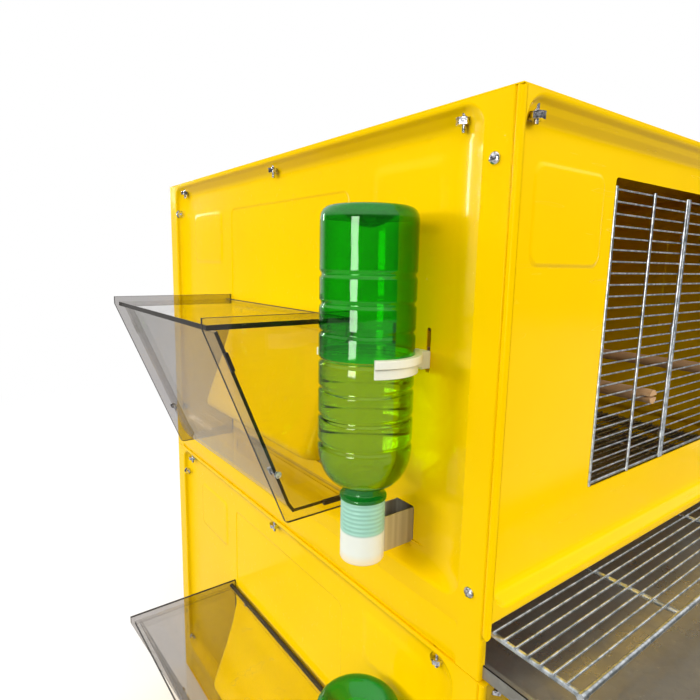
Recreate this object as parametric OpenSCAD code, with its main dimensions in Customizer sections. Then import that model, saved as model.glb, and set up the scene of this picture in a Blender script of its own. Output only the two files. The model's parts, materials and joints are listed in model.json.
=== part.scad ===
// Canary breeding cage: two stacked tiers of pressed and painted sheet steel, each with a wire front,
// a wire floor over a galvanised tray, an outside seed hopper and an outside bottle drinker.
// +X runs to the right along the front, -Y is the front, +Z is up.
// The origin is the middle of the bottom sheet's underside.

/* [Cage] */
// Width of a tier along the front
cage_w = 600; // [540:1:700]
// Depth of a tier from front to back
cage_d = 580; // [560:1:700]
// Height from one tier's underside to the next
tier_h = 370; // [366:1:390]
// Thickness of the painted sheet
sheet_t = 1; // [0.8:0.1:1.2]
// Depth of the pressed field below the rims
press_depth = 10; // [8.5:0.5:12]
// Height of the rim over the pressed field
top_rim_h = 9; // [8:0.5:12]
// Height of the plain band under an end panel's field
end_band_h = 47; // [44:1:52]
// Width of an end panel's front rim
end_front_rim_w = 26; // [25:0.5:30]
// Width of an end panel's back rim
end_back_rim_w = 24; // [22:0.5:28]
// Width of the rounded bead down the front corners
corner_bead_w = 4.5; // [4:0.5:5]
// Height of the open slot under the front panel
front_slot_h = 42; // [40:1:46]
// Height of the plain rim under the front panel's field
front_low_rim_h = 15; // [12:1:20]
// How far the corner beads hang below the front panel
bead_drop = 10; // [4:1:12]
// Corner radius of the pressed fields
field_r = 8; // [6:1:14]
// Width of the inward flanges that stiffen the panels
flange_w = 14; // [12:1:18]

/* [Embossed plates] */
// Width of a bare embossed plate
plate_w = 82; // [60:1:86]
// Height of a bare embossed plate
plate_h = 64; // [50:1:70]
// Corner radius of an embossed plate
plate_r = 9; // [4:1:14]
// How far an embossed plate stands out
plate_relief = 1; // [0.6:0.1:1.5]
// Distance of the embossed plates below the tier's top
plate_top = 36; // [30:1:44]
// Distance from the cage's front to the end panel's first plate
plate_front = 60; // [50:1:66]
// Distance from the cage's back to the end panel's second plate
plate_back = 74; // [60:1:90]
// Distance from the cage's sides to the middles of the front panel's plates
plate_side = 69; // [62:1:76]

/* [Wire front] */
// Width of the window in the front panel
window_w = 352; // [300:1:380]
// Height of the window's sill above the tier's underside
window_sill = 103; // [98:1:125]
// Height of the window
window_h = 231; // [190:1:232]
// Width of the hinged door
door_w = 118; // [100:1:130]
// Diameter of the frame wires and of the hinge rod
frame_wire_d = 2.4; // [2.2:0.1:2.6]
// Diameter of the thin horizontal wires
thin_wire_d = 1.4; // [1.2:0.1:1.6]
// Spacing of the horizontal wires
wire_pitch = 8.5; // [8.2:0.1:10]

/* [Floor grille and tray] */
// How far the floor grille is drawn out
grille_drawn = 60; // [20:1:90]
// Length of the floor grille from front to back
grille_l = 560; // [500:1:562]
// Diameter of the floor grille's frame rods
rod_d = 4; // [3:0.1:4.2]
// Diameter of the floor grille's cross wires
floor_wire_d = 1.8; // [1.6:0.1:2.2]
// Spacing of the floor grille's cross wires
floor_pitch = 8.75; // [8:0.25:12]
// Height of the runner that carries the floor grille
runner_z = 31; // [31:0.5:33]
// Width of that runner
runner_w = 13; // [11:0.5:16]
// How far the tray is drawn out
tray_drawn = 110; // [90:1:160]
// Length of the tray
tray_l = 560; // [500:1:570]
// Height of the tray's side walls
tray_wall_h = 10; // [8:1:16]
// Height of the tray's front wall
tray_front_h = 27; // [20:1:28]
// Thickness of the tray's galvanised sheet
tray_t = 0.6; // [0.5:0.1:1]

/* [Seed hopper] */
// Distance from the cage's front to the hopper's near plate
hopper_front = 162; // [150:1:170]
// Width of the hopper over its two plates
hopper_w = 245; // [200:1:300]
// Thickness of the hopper's side plates
plate_t = 3; // [2.5:0.5:4]
// Thickness of the hopper's front sheet and of its lid
acrylic_t = 4; // [3:0.5:4.5]
// Height of the side plates' top edge
hopper_top = 231.5; // [220:0.5:240]
// Height of the side plates' bottom edge
hopper_bottom = 61; // [56:0.5:66]
// How far the side plates reach out at the top
hopper_reach = 130.5; // [110:0.5:140]
// How far the side plates reach out at the bottom
hopper_foot = 64; // [56:0.5:72]
// Diameter of the lid's hinge pins
lid_pin_d = 5; // [4.6:0.1:5.4]
// Width of the feeding opening in the end panel
feed_w = 230; // [180:1:231]
// Height of the feeding opening's sill
feed_sill = 78; // [74:1:90]
// Height of the feeding opening
feed_h = 112; // [90:1:114]

/* [Bottle drinker] */
// Distance from the cage's front to the bottle's axis
bottle_front = 92; // [85:1:100]
// Distance from the end panel's field to the bottle's axis
bottle_out = 41; // [39:0.5:46]
// Radius of the bottle's body
bottle_r = 33.2; // [31:0.1:34.5]
// Wall of the bottle
bottle_t = 0.8; // [0.6:0.1:1]
// Height of the bottle's upturned bottom
bottle_top = 308; // [300:1:316]
// Outer radius of the drinker's cup
cup_r = 16; // [15.6:0.1:18]
// Wall of the drinker's cup
cup_t = 1.4; // [1.2:0.1:1.6]
// Height of the cup's rim
cup_rim = 105.2; // [100:0.1:110]
// Height of the cup's underside
cup_foot = 59.5; // [56:0.5:62]
// Width of the steel trough
trough_w = 20; // [16:0.5:22]
// Length of the trough inside the cage
trough_in = 30; // [20:1:50]
// Height of the clip's upper face
clip_top = 211; // [190:1:214]

/* [Perches] */
// Diameter of a perch
perch_d = 12; // [10:0.5:14]
// Distance of each perch from the cage's middle
perch_x = 92; // [84:1:100]
// Which horizontal wire holds the perches, counted up from the sill
perch_wire = 7; // [4:1:12]

/* [Fasteners] */
// Diameter of the screws
screw_d = 3; // [2.8:0.1:3.4]
// Width of a nut across its corners
nut_w = 8; // [7.4:0.1:8.4]
// Thickness of a nut
nut_h = 3; // [2.4:0.1:3.2]
// How far a screw's end stands out of its nut
screw_end = 4.5; // [2:0.5:6]

/* [Clearances] */
// Gap between parts that slide or lift past each other
slide_gap = 0.3; // [0.3:0.05:0.5]
// Gap all round a hinge pin
hinge_gap = 0.1; // [0.05:0.01:0.1]
// Gap all round a screw, hook or tab in its hole
hole_gap = 0.3; // [0.2:0.05:0.5]

/* [Hidden] */
$fn = 48;
eps = 0.02;
levels = [0, 1];
names = ["lower", "upper"];
half_w = cage_w / 2;
half_d = cage_d / 2;

// Heights and planes of the pressed panels, in a tier's own frame
wall_top = tier_h - sheet_t;                  // top of the walls, under the roof sheet
ledge_z = wall_top - top_rim_h;               // underside of the ledge that the nuts sit on
end_field_x = -half_w + press_depth;          // outer face of the left end panel's field
end_field_y0 = -half_d + end_front_rim_w;
end_field_y1 = half_d - end_back_rim_w;
end_y0 = -half_d + corner_bead_w;             // front edge of the end panel's rim
front_field_y = -half_d + press_depth;        // outer face of the front panel's field
front_field_x = half_w - corner_bead_w;       // half the width of the front panel's field
front_field_z0 = front_slot_h + front_low_rim_h;
back_y = half_d - sheet_t;                    // outer face of the back panel
back_field_y = back_y - press_depth;
back_field_x = half_w - flange_w - 2;
back_field_z0 = 60;

// Screws
roof_screw_inset = 5;                         // from a wall's outer face to the screws in the ledges
end_screw_inset = 46;                         // from the cage's front and back to the end ledges' outer screws
end_screw_y = [-half_d + end_screw_inset, 0, half_d - end_screw_inset];
front_screw_x = half_w - 20;
back_ledge_screw_x = back_field_x - field_r - 12;
corner_screw_y = -half_d + 16.5;
back_screw_x = half_w - 5;
low_screw_z = end_band_h + 12;
low_back_screw_z = end_band_h + field_r + nut_w / 2 + 1;
high_screw_z = tier_h - 38;
head_r = screw_d / 2 + 1.8;
head_h = 2.2;
sink_h = 2;                                   // depth of a countersunk head

// Wire front
pane_y = front_field_y + sheet_t;             // back face of the front panel's field
thin_y = pane_y + thin_wire_d / 2;            // axis of the horizontal wires, behind the sheet
weld = 0.2;                                   // how far two welded wires run into each other
frame_y = thin_y - thin_wire_d / 2 - frame_wire_d / 2 + weld;
wire_count = floor((window_h - 2 * frame_wire_d) / wire_pitch);
wire_z0 = window_sill + 1.2 + frame_wire_d / 2;
window_top = window_sill + window_h;
hinge_x = -door_w / 2;                        // axis of the door's hinge rod
door_frame_x = hinge_x + frame_wire_d + 1.6;  // the door's hinge-side wire
door_edge_x = door_w / 2;
pane_wire_x = door_edge_x + 4;                // the right grille's first wire
wire_end = 1.3;                               // how far a thin wire runs past the last upright
latch_d = 1.6;
latch_y = frame_y - frame_wire_d / 2 - slide_gap - latch_d / 2;
hook_lap = 9;                                 // how far a thin wire runs behind the sheet
knuckle_r = frame_wire_d / 2 + hinge_gap + 1.2;
knuckle_h = 5;
knuckle_rows = [2, floor(wire_count / 2), wire_count - 4];
latch_row = floor(wire_count / 2) + 3;

// Floor grille and tray
grille_y0 = -half_d - grille_drawn;
rod_x = half_w - 9;
rod_z = runner_z + rod_d / 2 + 0.05;
floor_wire_z = rod_z + rod_d / 2 + floor_wire_d / 2 - weld;
floor_wires = floor((grille_l - 2 * rod_d) / floor_pitch);
rib_x = [-rod_x, -rod_x * 0.57, 0, rod_x * 0.57, rod_x];
tray_w = cage_w - 2 * sheet_t - 5;
tray_y0 = -half_d - tray_drawn;
tray_z = sheet_t + slide_gap;
hem_w = 4;

// Seed hopper
hopper_y0 = -half_d + hopper_front;
hopper_y1 = hopper_y0 + hopper_w;
pin_x = end_field_x - 4.5;
pin_z = hopper_top - 7.5;
plate_out_x = end_field_x - hopper_reach;
plate_foot_x = end_field_x - hopper_foot;
plate_step = 7.5;                             // height of the plates' upright top edge
slant_run = hopper_reach - hopper_foot;
slant_rise = hopper_top - plate_step - hopper_bottom;
sheet_inset = 7;                              // from the plates' slanted edge to the front sheet
slant_l = sqrt(slant_run * slant_run + slant_rise * slant_rise);
// The sheet is cut square to its slant, so its outer edge stands higher than its middle
sheet_top = pin_z - acrylic_t / 2 - slide_gap - acrylic_t / 2 * slant_run / slant_l;
sheet_shift = (sheet_inset + acrylic_t / 2) * slant_l / slant_rise;
function slant_x(z) = plate_foot_x - slant_run * (z - hopper_bottom) / slant_rise + sheet_shift;
knee_z = hopper_bottom + 35;
floor_z = hopper_bottom + 6 + acrylic_t / 2;  // middle of the hopper's floor
bend_x = slant_x(knee_z) + 8;
hopper_path = [
    [slant_x(sheet_top), sheet_top], [slant_x(knee_z), knee_z],
    [bend_x, floor_z + 7], [bend_x + 5, floor_z], [end_field_x - slide_gap, floor_z]
];
tab_z = hopper_top - 33;                      // middle of the slanted tabs
tab_l = 14;
tab_gap = 0.15;                               // round the front sheet's tabs in the plates' slots
floor_tab_x0 = end_field_x - 27;
floor_tab_l = 19;
hook_z = [hopper_bottom + 26, hopper_top - 40];
hook_h = 14;
hook_drop = 5;
hopper_screw_z = hopper_bottom + 44;
hopper_screw_d = 3;

// Feed baffle
baffle_top = pin_z - 14;
baffle_reach = 40;
baffle_rise = 51;                             // from the plates' bottom edge to the baffle's foot
baffle_low = [end_field_x - baffle_reach, hopper_bottom + baffle_rise];
baffle_y0 = hopper_y0 + plate_t + 6;
baffle_y1 = hopper_y1 - plate_t - 6;

// Feeding opening, centred on the hopper
feed_y0 = (hopper_y0 + hopper_y1 - feed_w) / 2;
feed_z1 = feed_sill + feed_h;

// Bottle drinker
bottle_x = end_field_x - bottle_out;
bottle_y = -half_d + bottle_front;
collar_r = cup_r + 1;                         // the bottle's neck ring, which rests on the cup
collar_z = cup_rim + slide_gap;
collar_h = 3;
neck_r = cup_r - cup_t - 0.8;
mouth_z = collar_z - 21;
shoulder_z = collar_z + 39;
waist_r = neck_r - 1;                         // narrowest part, between the neck ring and the shoulder
waist_z = collar_z + collar_h + 7;
rib_depth = 1.1;
rib_half = 1.1;
rib_pitch = 19.2;
rib_count = 7;
rib_z0 = shoulder_z + 4;
// Upturned bottom from its edge to its hollow, as [radius, depth below the top]
bottom_curve = [[bottle_r, 8], [bottle_r - 2, 3], [bottle_r - 7, 0], [bottle_r - 13, 1], [8, 11], [0, 13]];
trough_z = cup_foot + cup_t + 1.2;
trough_top = mouth_z + 5;
trough_t = 0.8;
trough_x1 = end_field_x + trough_in;
// The trough starts just past the bottle's neck
trough_x0 = bottle_x + sqrt(neck_r * neck_r - pow(trough_w / 2 - trough_t, 2)) + 0.6;
slot_y0 = bottle_y - trough_w / 2 - 0.5;
slot_z0 = trough_z - 4;
slot_z1 = trough_top + 1;
clip_r = bottle_r + slide_gap;
clip_flange_t = 5.5;
clip_flange_w = 5;
clip_band_t = 2.2;
clip_h = 12.7;
clip_arc = 120;
tail_y = 18.4;                                // from the bottle's axis to each of the clip's tails
tail_t = 2.6;
clip_slot_h = 32;
clip_slot_z = clip_top - 16;

// Perches
perch_z = wire_z0 + perch_wire * wire_pitch;

PARTS = [
    "end_panel_left", "end_panel_right", "back_panel", "roof_panel", "front_panel", "grille_left",
    "grille_right", "door", "grille_runners", "floor_grille", "tray", "perches", "hopper_near_plate",
    "hopper_far_plate", "hopper_front_sheet", "hopper_lid", "feed_baffle", "hopper_screws", "bottle",
    "drinker_cup", "drinker_trough", "bottle_clip", "roof_screws", "corner_screws", "back_screws", "nuts"
];

// ---- Shared shapes ----

// Box from its lowest corner to its highest corner
module box(low, high) {
    translate(low) cube(high - low);
}

// Rounded rectangle from corner to corner, in the XY plane
module round_rect(low, high, r) {
    difference() {
        translate(low) square(high - low);
        for (i = [0, 1], j = [0, 1])
            translate([i == 0 ? low.x : high.x, j == 0 ? low.y : high.y])
                difference() {
                    square(2 * r, center = true);
                    translate([i == 0 ? r : -r, j == 0 ? r : -r]) circle(r);
                }
    }
}

// Turns a drawing in (Y, Z) into a slab from x0 to x1
module slab_x(x0, x1) {
    translate([x0, 0, 0]) rotate([90, 0, 90]) linear_extrude(x1 - x0) children();
}

// Turns a drawing in (X, Z) into a slab from y0 to y1
module slab_y(y0, y1) {
    translate([0, y1, 0]) rotate([90, 0, 0]) linear_extrude(y1 - y0) children();
}

// Round bar from one point along an axis name
module bar_x(from, l, d) {
    translate(from) rotate([0, 90, 0]) cylinder(h = l, d = d);
}
module bar_y(from, l, d) {
    translate(from) rotate([-90, 0, 0]) cylinder(h = l, d = d);
}
module bar_z(from, l, d) {
    translate(from) cylinder(h = l, d = d);
}

// Places a child at each roof screw's axis
module at_roof_screws() {
    front_y = -half_d + roof_screw_inset;
    for (side = [-1, 1], y = end_screw_y) translate([side * (half_w - roof_screw_inset), y, 0]) children();
    for (i = [-1:1]) {
        translate([i * front_screw_x, front_y, 0]) children();
        translate([i * back_ledge_screw_x, back_y - roof_screw_inset, 0]) children();
    }
}

// Clearance hole for a countersunk roof screw
module roof_screw_hole() {
    bar_z([0, 0, ledge_z - 1], tier_h, screw_d + 2 * hole_gap);
    translate([0, 0, tier_h - sink_h - hole_gap])
        cylinder(h = sink_h + hole_gap + eps, r1 = screw_d / 2 + hole_gap, r2 = head_r + hole_gap);
}

// Places a child at each corner screw's axis on the left end, pointing out along -X
module at_corner_screws() {
    for (z = [low_screw_z, high_screw_z]) translate([-half_w, corner_screw_y, z]) children();
}

// Places a child at each back screw's axis on the left end, pointing out along +Y
module at_back_screws() {
    for (z = [low_back_screw_z, high_screw_z]) translate([-back_screw_x, half_d, z]) children();
}

// Slotted pan head on a shank along +Z, its seat at z = 0
module pan_screw(shank_l) {
    difference() {
        union() {
            cylinder(h = head_h * 0.55, r = head_r);
            translate([0, 0, head_h * 0.55]) cylinder(h = head_h * 0.45, r1 = head_r, r2 = head_r * 0.72);
        }
        box([-head_r * 2, -0.4, head_h - 0.9], [head_r * 2, 0.4, head_h * 2]);
    }
    translate([0, 0, -shank_l]) cylinder(h = shank_l + eps, d = screw_d);
}

// Hexagonal nut along +Z
module nut() {
    difference() {
        cylinder(h = nut_h, d = nut_w, $fn = 6);
        translate([0, 0, -eps]) cylinder(h = nut_h + 2 * eps, d = screw_d + 0.1);
    }
}

// ---- Sheet steel ----

// Left end panel without its openings
module end_pressing() {
    difference() {
        union() {
            // rims
            slab_x(-half_w, -half_w + sheet_t) translate([end_y0, 0]) square([half_d - end_y0, wall_top]);
            // pan behind the field
            slab_x(-half_w, end_field_x + sheet_t)
                round_rect([end_field_y0 - sheet_t, end_band_h - sheet_t],
                    [end_field_y1 + sheet_t, ledge_z + sheet_t], field_r + sheet_t);
        }
        slab_x(-half_w - 1, end_field_x)
            round_rect([end_field_y0, end_band_h], [end_field_y1, ledge_z], field_r);
    }
    // flanges: top, bottom, back
    box([-half_w, end_y0, wall_top - sheet_t], [-half_w + flange_w, half_d, wall_top]);
    box([-half_w, end_y0, 0], [-half_w + flange_w, half_d, sheet_t]);
    box([-half_w, half_d - sheet_t, 0], [-half_w + flange_w, half_d, wall_top]);
    // bare embossed plates
    for (y0 = [-half_d + plate_front, half_d - plate_back - plate_w])
        slab_x(end_field_x - plate_relief, end_field_x + eps)
            round_rect([y0, tier_h - plate_top - plate_h], [y0 + plate_w, tier_h - plate_top], plate_r);
}

// Holes that both end panels have
module end_holes() {
    at_roof_screws() roof_screw_hole();
    at_corner_screws() rotate([0, 90, 0]) cylinder(h = 20, d = screw_d + 2 * hole_gap, center = true);
    at_back_screws() translate([0, 1, 0]) rotate([90, 0, 0])
        cylinder(h = end_back_rim_w + 10, d = screw_d + 2 * hole_gap);
}

// Holes for the hopper and the drinker
module end_openings() {
    slab_x(end_field_x - 4, end_field_x + 4) {
        round_rect([feed_y0, feed_sill], [feed_y0 + feed_w, feed_z1], 8);
        round_rect([slot_y0, slot_z0], [slot_y0 + trough_w + 1, slot_z1], 2);
        for (side = [-1, 1]) {
            y = bottle_y + side * tail_y;
            w = tail_t / 2 + 0.7;
            round_rect([y - w, clip_slot_z], [y + w, clip_slot_z + clip_slot_h], 1.5);
        }
        for (y = [hopper_y0, hopper_y1 - plate_t], z = hook_z)
            translate([y - hole_gap, z - hook_drop - hole_gap])
                square([plate_t + 2 * hole_gap, hook_h + hook_drop + 2 * hole_gap]);
    }
}

module end_panel_left() {
    color("gold") difference() {
        end_pressing();
        end_holes();
        end_openings();
    }
}

module end_panel_right() {
    color("gold") mirror([1, 0, 0]) difference() {
        end_pressing();
        end_holes();
    }
}

module roof_panel() {
    color("gold") difference() {
        box([-half_w, -half_d, wall_top], [half_w, half_d, tier_h]);
        at_roof_screws() roof_screw_hole();
    }
}

module base_panel() {
    color("gold") box([-half_w, -half_d, 0], [half_w, half_d, sheet_t]);
}

module front_panel() {
    inner_x = half_w - sheet_t;
    color("gold") difference() {
        union() {
            difference() {
                union() {
                    // rims
                    slab_y(-half_d, -half_d + sheet_t)
                        translate([-inner_x, front_slot_h]) square([2 * inner_x, wall_top - front_slot_h]);
                    // pan behind the field
                    slab_y(-half_d, front_field_y + sheet_t)
                        round_rect([-front_field_x - sheet_t, front_field_z0 - sheet_t],
                            [front_field_x + sheet_t, ledge_z + sheet_t], field_r + sheet_t);
                }
                slab_y(-half_d - 1, front_field_y)
                    round_rect([-front_field_x, front_field_z0], [front_field_x, ledge_z], field_r);
                // window
                slab_y(front_field_y - 1, front_field_y + sheet_t + 1)
                    round_rect([-window_w / 2, window_sill], [window_w / 2, window_top], 3);
            }
            // top flange and bottom hem
            box([-half_w + flange_w + 2, -half_d, wall_top - sheet_t],
                [half_w - flange_w - 2, -half_d + flange_w - 2, wall_top]);
            box([-inner_x, -half_d, front_slot_h], [inner_x, -half_d + 6, front_slot_h + sheet_t]);
            // bare embossed plates
            for (side = [-1, 1])
                slab_y(front_field_y - plate_relief, front_field_y + eps)
                    round_rect(
                        [side * (half_w - plate_side) - plate_w / 2, tier_h - plate_top - plate_h],
                        [side * (half_w - plate_side) + plate_w / 2, tier_h - plate_top], plate_r);
            for (side = [0, 1]) mirror([side, 0, 0]) front_corner();
        }
        at_roof_screws() roof_screw_hole();
        for (side = [0, 1]) mirror([side, 0, 0]) at_corner_screws()
            rotate([0, 90, 0]) cylinder(h = 20, d = screw_d + 2 * hole_gap, center = true);
    }
}

// Rounded bead at the left front corner, with the flange that goes behind the end panel
module front_corner() {
    z0 = front_slot_h - bead_drop;
    r = corner_bead_w - 1.2;
    translate([0, 0, z0]) linear_extrude(wall_top - z0) difference() {
        translate([-half_w, -half_d]) square([corner_bead_w - 0.5, corner_bead_w]);
        translate([-half_w, -half_d]) difference() {
            square(2 * r, center = true);
            translate([r, r]) circle(r);
        }
    }
    box([-half_w + sheet_t, -half_d + sheet_t, z0 + 2],
        [-half_w + 2 * sheet_t, end_field_y0 - sheet_t - 1.5, wall_top - sheet_t]);
}

module back_panel() {
    edge_x = half_w - sheet_t - 0.5;
    color("gold") difference() {
        union() {
            difference() {
                union() {
                    slab_y(back_y - sheet_t, back_y)
                        translate([-edge_x, sheet_t]) square([2 * edge_x, wall_top - 2 * sheet_t]);
                    slab_y(back_field_y - sheet_t, back_y)
                        round_rect([-back_field_x - sheet_t, back_field_z0 - sheet_t],
                            [back_field_x + sheet_t, ledge_z + sheet_t], field_r + sheet_t);
                }
                slab_y(back_field_y, back_y + 1)
                    round_rect([-back_field_x, back_field_z0], [back_field_x, ledge_z], field_r);
            }
            box([-half_w + flange_w + 2, back_y - flange_w + 2, wall_top - sheet_t],
                [half_w - flange_w - 2, back_y, wall_top]);
        }
        at_roof_screws() roof_screw_hole();
        for (side = [0, 1]) mirror([side, 0, 0]) at_back_screws()
            rotate([90, 0, 0]) cylinder(h = 20, d = screw_d + 2 * hole_gap, center = true);
        for (side = [-1, 1])
            bar_y([side * perch_x, back_field_y - 4, perch_z], 8, 3 + 2 * hole_gap);
    }
}

// Angles inside both end panels that carry the floor grille
module grille_runners() {
    color("silver") for (side = [0, 1]) mirror([side, 0, 0]) {
        y0 = end_field_y0 + 2;
        box([-half_w + sheet_t, y0, runner_z - sheet_t], [-half_w + sheet_t + runner_w, -y0, runner_z]);
        box([-half_w + sheet_t, y0, runner_z - 12], [-half_w + 2 * sheet_t, -y0, runner_z]);
    }
}

// ---- Wire front ----

// Thin horizontal wires from x0 to x1
module thin_wires(x0, x1) {
    for (i = [1:wire_count])
        bar_x([x0, thin_y, wire_z0 + i * wire_pitch], x1 - x0, thin_wire_d);
}

// Upright frame wire across the window's height
module upright(x) {
    bar_z([x, frame_y, wire_z0 - 1], wire_count * wire_pitch + 2.6, frame_wire_d);
}

// Fixed grille from the window's left edge to an upright at x1, hooked behind the sheet
module fixed_grille(x1) {
    x0 = -window_w / 2 + frame_wire_d / 2 + 0.4;
    for (x = [x0, (x0 + x1) / 2, x1]) upright(x);
    thin_wires(-window_w / 2 - hook_lap, x1 + wire_end);
    bar_x([x0 - wire_end, thin_y, wire_z0], x1 - x0 + 2 * wire_end, frame_wire_d);
}

module grille_left() {
    color("silver") fixed_grille(hinge_x);
}

module grille_right() {
    color("silver") mirror([1, 0, 0]) fixed_grille(-pane_wire_x);
}

module door() {
    color("silver") {
        upright(door_frame_x);
        upright(door_edge_x);
        thin_wires(door_frame_x - wire_end / 2, door_edge_x + wire_end);
        bar_x([door_frame_x - wire_end / 2, thin_y, wire_z0], door_edge_x - door_frame_x + 1.5 * wire_end,
            frame_wire_d);
        // knuckles round the hinge rod
        for (row = knuckle_rows)
            translate([hinge_x, frame_y, wire_z0 + (row + 0.5) * wire_pitch - knuckle_h / 2]) {
                difference() {
                    union() {
                        cylinder(h = knuckle_h, r = knuckle_r);
                        box([0, -0.6, 0], [door_frame_x - hinge_x, 0.6, knuckle_h]);
                    }
                    translate([0, 0, -1]) cylinder(h = knuckle_h + 2, r = frame_wire_d / 2 + hinge_gap);
                }
            }
        // latch wire that laps the right grille's first upright
        translate([door_edge_x, 0, wire_z0 + (latch_row + 0.5) * wire_pitch]) {
            bar_y([0, latch_y - 1.1, 0], frame_y - latch_y + 1.1, latch_d + 0.5);
            bar_x([0, latch_y, 0], pane_wire_x - door_edge_x + 3, latch_d);
        }
    }
}

// ---- Floor grille, tray, perches ----

module floor_grille() {
    sides = 8;
    color("silver") {
        for (x = rib_x) bar_y([x, grille_y0, rod_z], grille_l, rod_d, $fn = sides);
        for (y = [grille_y0, grille_y0 + grille_l])
            bar_x([-rod_x, y, rod_z], 2 * rod_x, rod_d, $fn = sides);
        for (i = [1:floor_wires])
            bar_x([-rod_x - 2.5, grille_y0 + i * floor_pitch, floor_wire_z], 2 * rod_x + 5, floor_wire_d,
                $fn = sides);
        // knobs on the front corners
        for (side = [-1, 1])
            bar_x([side * rod_x - rod_d * 0.6, grille_y0, rod_z], rod_d * 1.2, rod_d + 1.2, $fn = sides);
    }
}

module tray() {
    x1 = tray_w / 2;
    top = tray_z + tray_wall_h;
    color("lightgray") {
        difference() {
            box([-x1, tray_y0, tray_z], [x1, tray_y0 + tray_l, top]);
            box([-x1 + tray_t, tray_y0 + tray_t, tray_z + tray_t],
                [x1 - tray_t, tray_y0 + tray_l - tray_t, top + 1]);
        }
        // folded hems along the sides and the back
        for (side = [-1, 1])
            box([side > 0 ? x1 - hem_w : -x1, tray_y0, top - tray_t],
                [side > 0 ? x1 : -x1 + hem_w, tray_y0 + tray_l, top]);
        box([-x1, tray_y0 + tray_l - hem_w, top - tray_t], [x1, tray_y0 + tray_l, top]);
        // taller front wall with a finger lip
        box([-x1, tray_y0, tray_z], [x1, tray_y0 + tray_t, tray_z + tray_front_h]);
        box([-x1, tray_y0 - 8, tray_z + tray_front_h - tray_t], [x1, tray_y0 + tray_t, tray_z + tray_front_h]);
    }
}

// Wooden perches, notched over a wire in front and pinned into the back panel
module perches() {
    y0 = thin_y - 6;
    y1 = back_field_y - sheet_t - slide_gap;
    color("burlywood") for (side = [-1, 1]) {
        difference() {
            bar_y([side * perch_x, y0, perch_z], y1 - y0, perch_d);
            box([side * perch_x - perch_d, y0 - 1, perch_z - thin_wire_d / 2 - hole_gap],
                [side * perch_x + perch_d, thin_y + 2, perch_z + thin_wire_d / 2 + hole_gap]);
        }
        bar_y([side * perch_x, y1 - 1, perch_z], 4, 3);
    }
}

// ---- Seed hopper ----

// Unit vector at right angles to the path from a to b, and one side of a strip with mitred bends
function left_of(a, b) = [a.y - b.y, b.x - a.x] / norm(b - a);
function strip_side(path, d) = [
    for (i = [0:len(path) - 1])
        let (n = left_of(path[max(i - 1, 0)], path[max(i, 1)]),
            m = left_of(path[min(i, len(path) - 2)], path[min(i + 1, len(path) - 1)]))
        path[i] + (n + m) * d / (1 + n * m)
];

// Strip of constant thickness along a path in (X, Z)
module strip(path, t) {
    back = strip_side(path, -t / 2);
    polygon(concat(strip_side(path, t / 2), [for (i = [len(back) - 1:-1:0]) back[i]]));
}

// Places of the front sheet's tabs, grown along the sheet and across it
module sheet_tabs(along, across) {
    top = [slant_x(tab_z + tab_l / 2), tab_z + tab_l / 2];
    low = [slant_x(tab_z - tab_l / 2), tab_z - tab_l / 2];
    step = low - top;
    translate(top) rotate(atan2(step.y, step.x)) translate([-along, -acrylic_t / 2 - across])
        square([norm(step) + 2 * along, acrylic_t + 2 * across]);
    translate([floor_tab_x0 - along, floor_z - acrylic_t / 2 - across])
        square([floor_tab_l + 2 * along, acrylic_t + 2 * across]);
}

module hopper_plate(y0) {
    foot_r = 4;
    color([0.62, 0.6, 0.58, 0.45]) slab_y(y0, y0 + plate_t) difference() {
        union() {
            polygon([
                [end_field_x, hopper_top], [plate_out_x, hopper_top], [plate_out_x, hopper_top - plate_step],
                [plate_foot_x - foot_r * slant_run / slant_l, hopper_bottom + foot_r * slant_rise / slant_l],
                [plate_foot_x + foot_r, hopper_bottom], [end_field_x, hopper_bottom]
            ]);
            // hooks through the end panel
            for (z = hook_z) {
                translate([end_field_x - eps, z]) square([sheet_t + 5, hook_h]);
                translate([end_field_x + sheet_t + slide_gap, z - hook_drop])
                    square([5 - slide_gap, hook_drop + eps]);
            }
        }
        sheet_tabs(tab_gap, tab_gap);
        translate([pin_x, pin_z]) circle(d = lid_pin_d + 2 * hinge_gap);
        translate([slant_x(hopper_screw_z), hopper_screw_z]) circle(d = hopper_screw_d + 0.2);
    }
}

module hopper_near_plate() { hopper_plate(hopper_y0); }
module hopper_far_plate() { hopper_plate(hopper_y1 - plate_t); }

module hopper_front_sheet() {
    color([0.62, 0.6, 0.58, 0.45]) difference() {
        slab_y(hopper_y0, hopper_y1) strip(hopper_path, acrylic_t);
        // ends cut back to the plates' inner faces, but for the tabs
        for (y = [hopper_y0 - 1, hopper_y1 - plate_t]) slab_y(y, y + plate_t + 1) difference() {
            translate([plate_out_x - 10, 0]) square([hopper_reach + 20, hopper_top + 10]);
            sheet_tabs(0, 1);
        }
        // slots for the screws and their nuts
        for (end = [0, 1]) translate([slant_x(hopper_screw_z), end == 0 ? hopper_y0 : hopper_y1, hopper_screw_z])
            mirror([0, end, 0]) hopper_screw_slot();
    }
}

// T-shaped slot in the front sheet, from a plate's outer face inwards
module hopper_screw_slot() {
    rotate([0, -atan2(slant_run, slant_rise), 0]) {
        box([-acrylic_t, plate_t - 1, -hopper_screw_d / 2 - 0.15], [acrylic_t, 16, hopper_screw_d / 2 + 0.15]);
        box([-acrylic_t, 9, -3.2], [acrylic_t, 12, 3.2]);
    }
}

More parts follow.
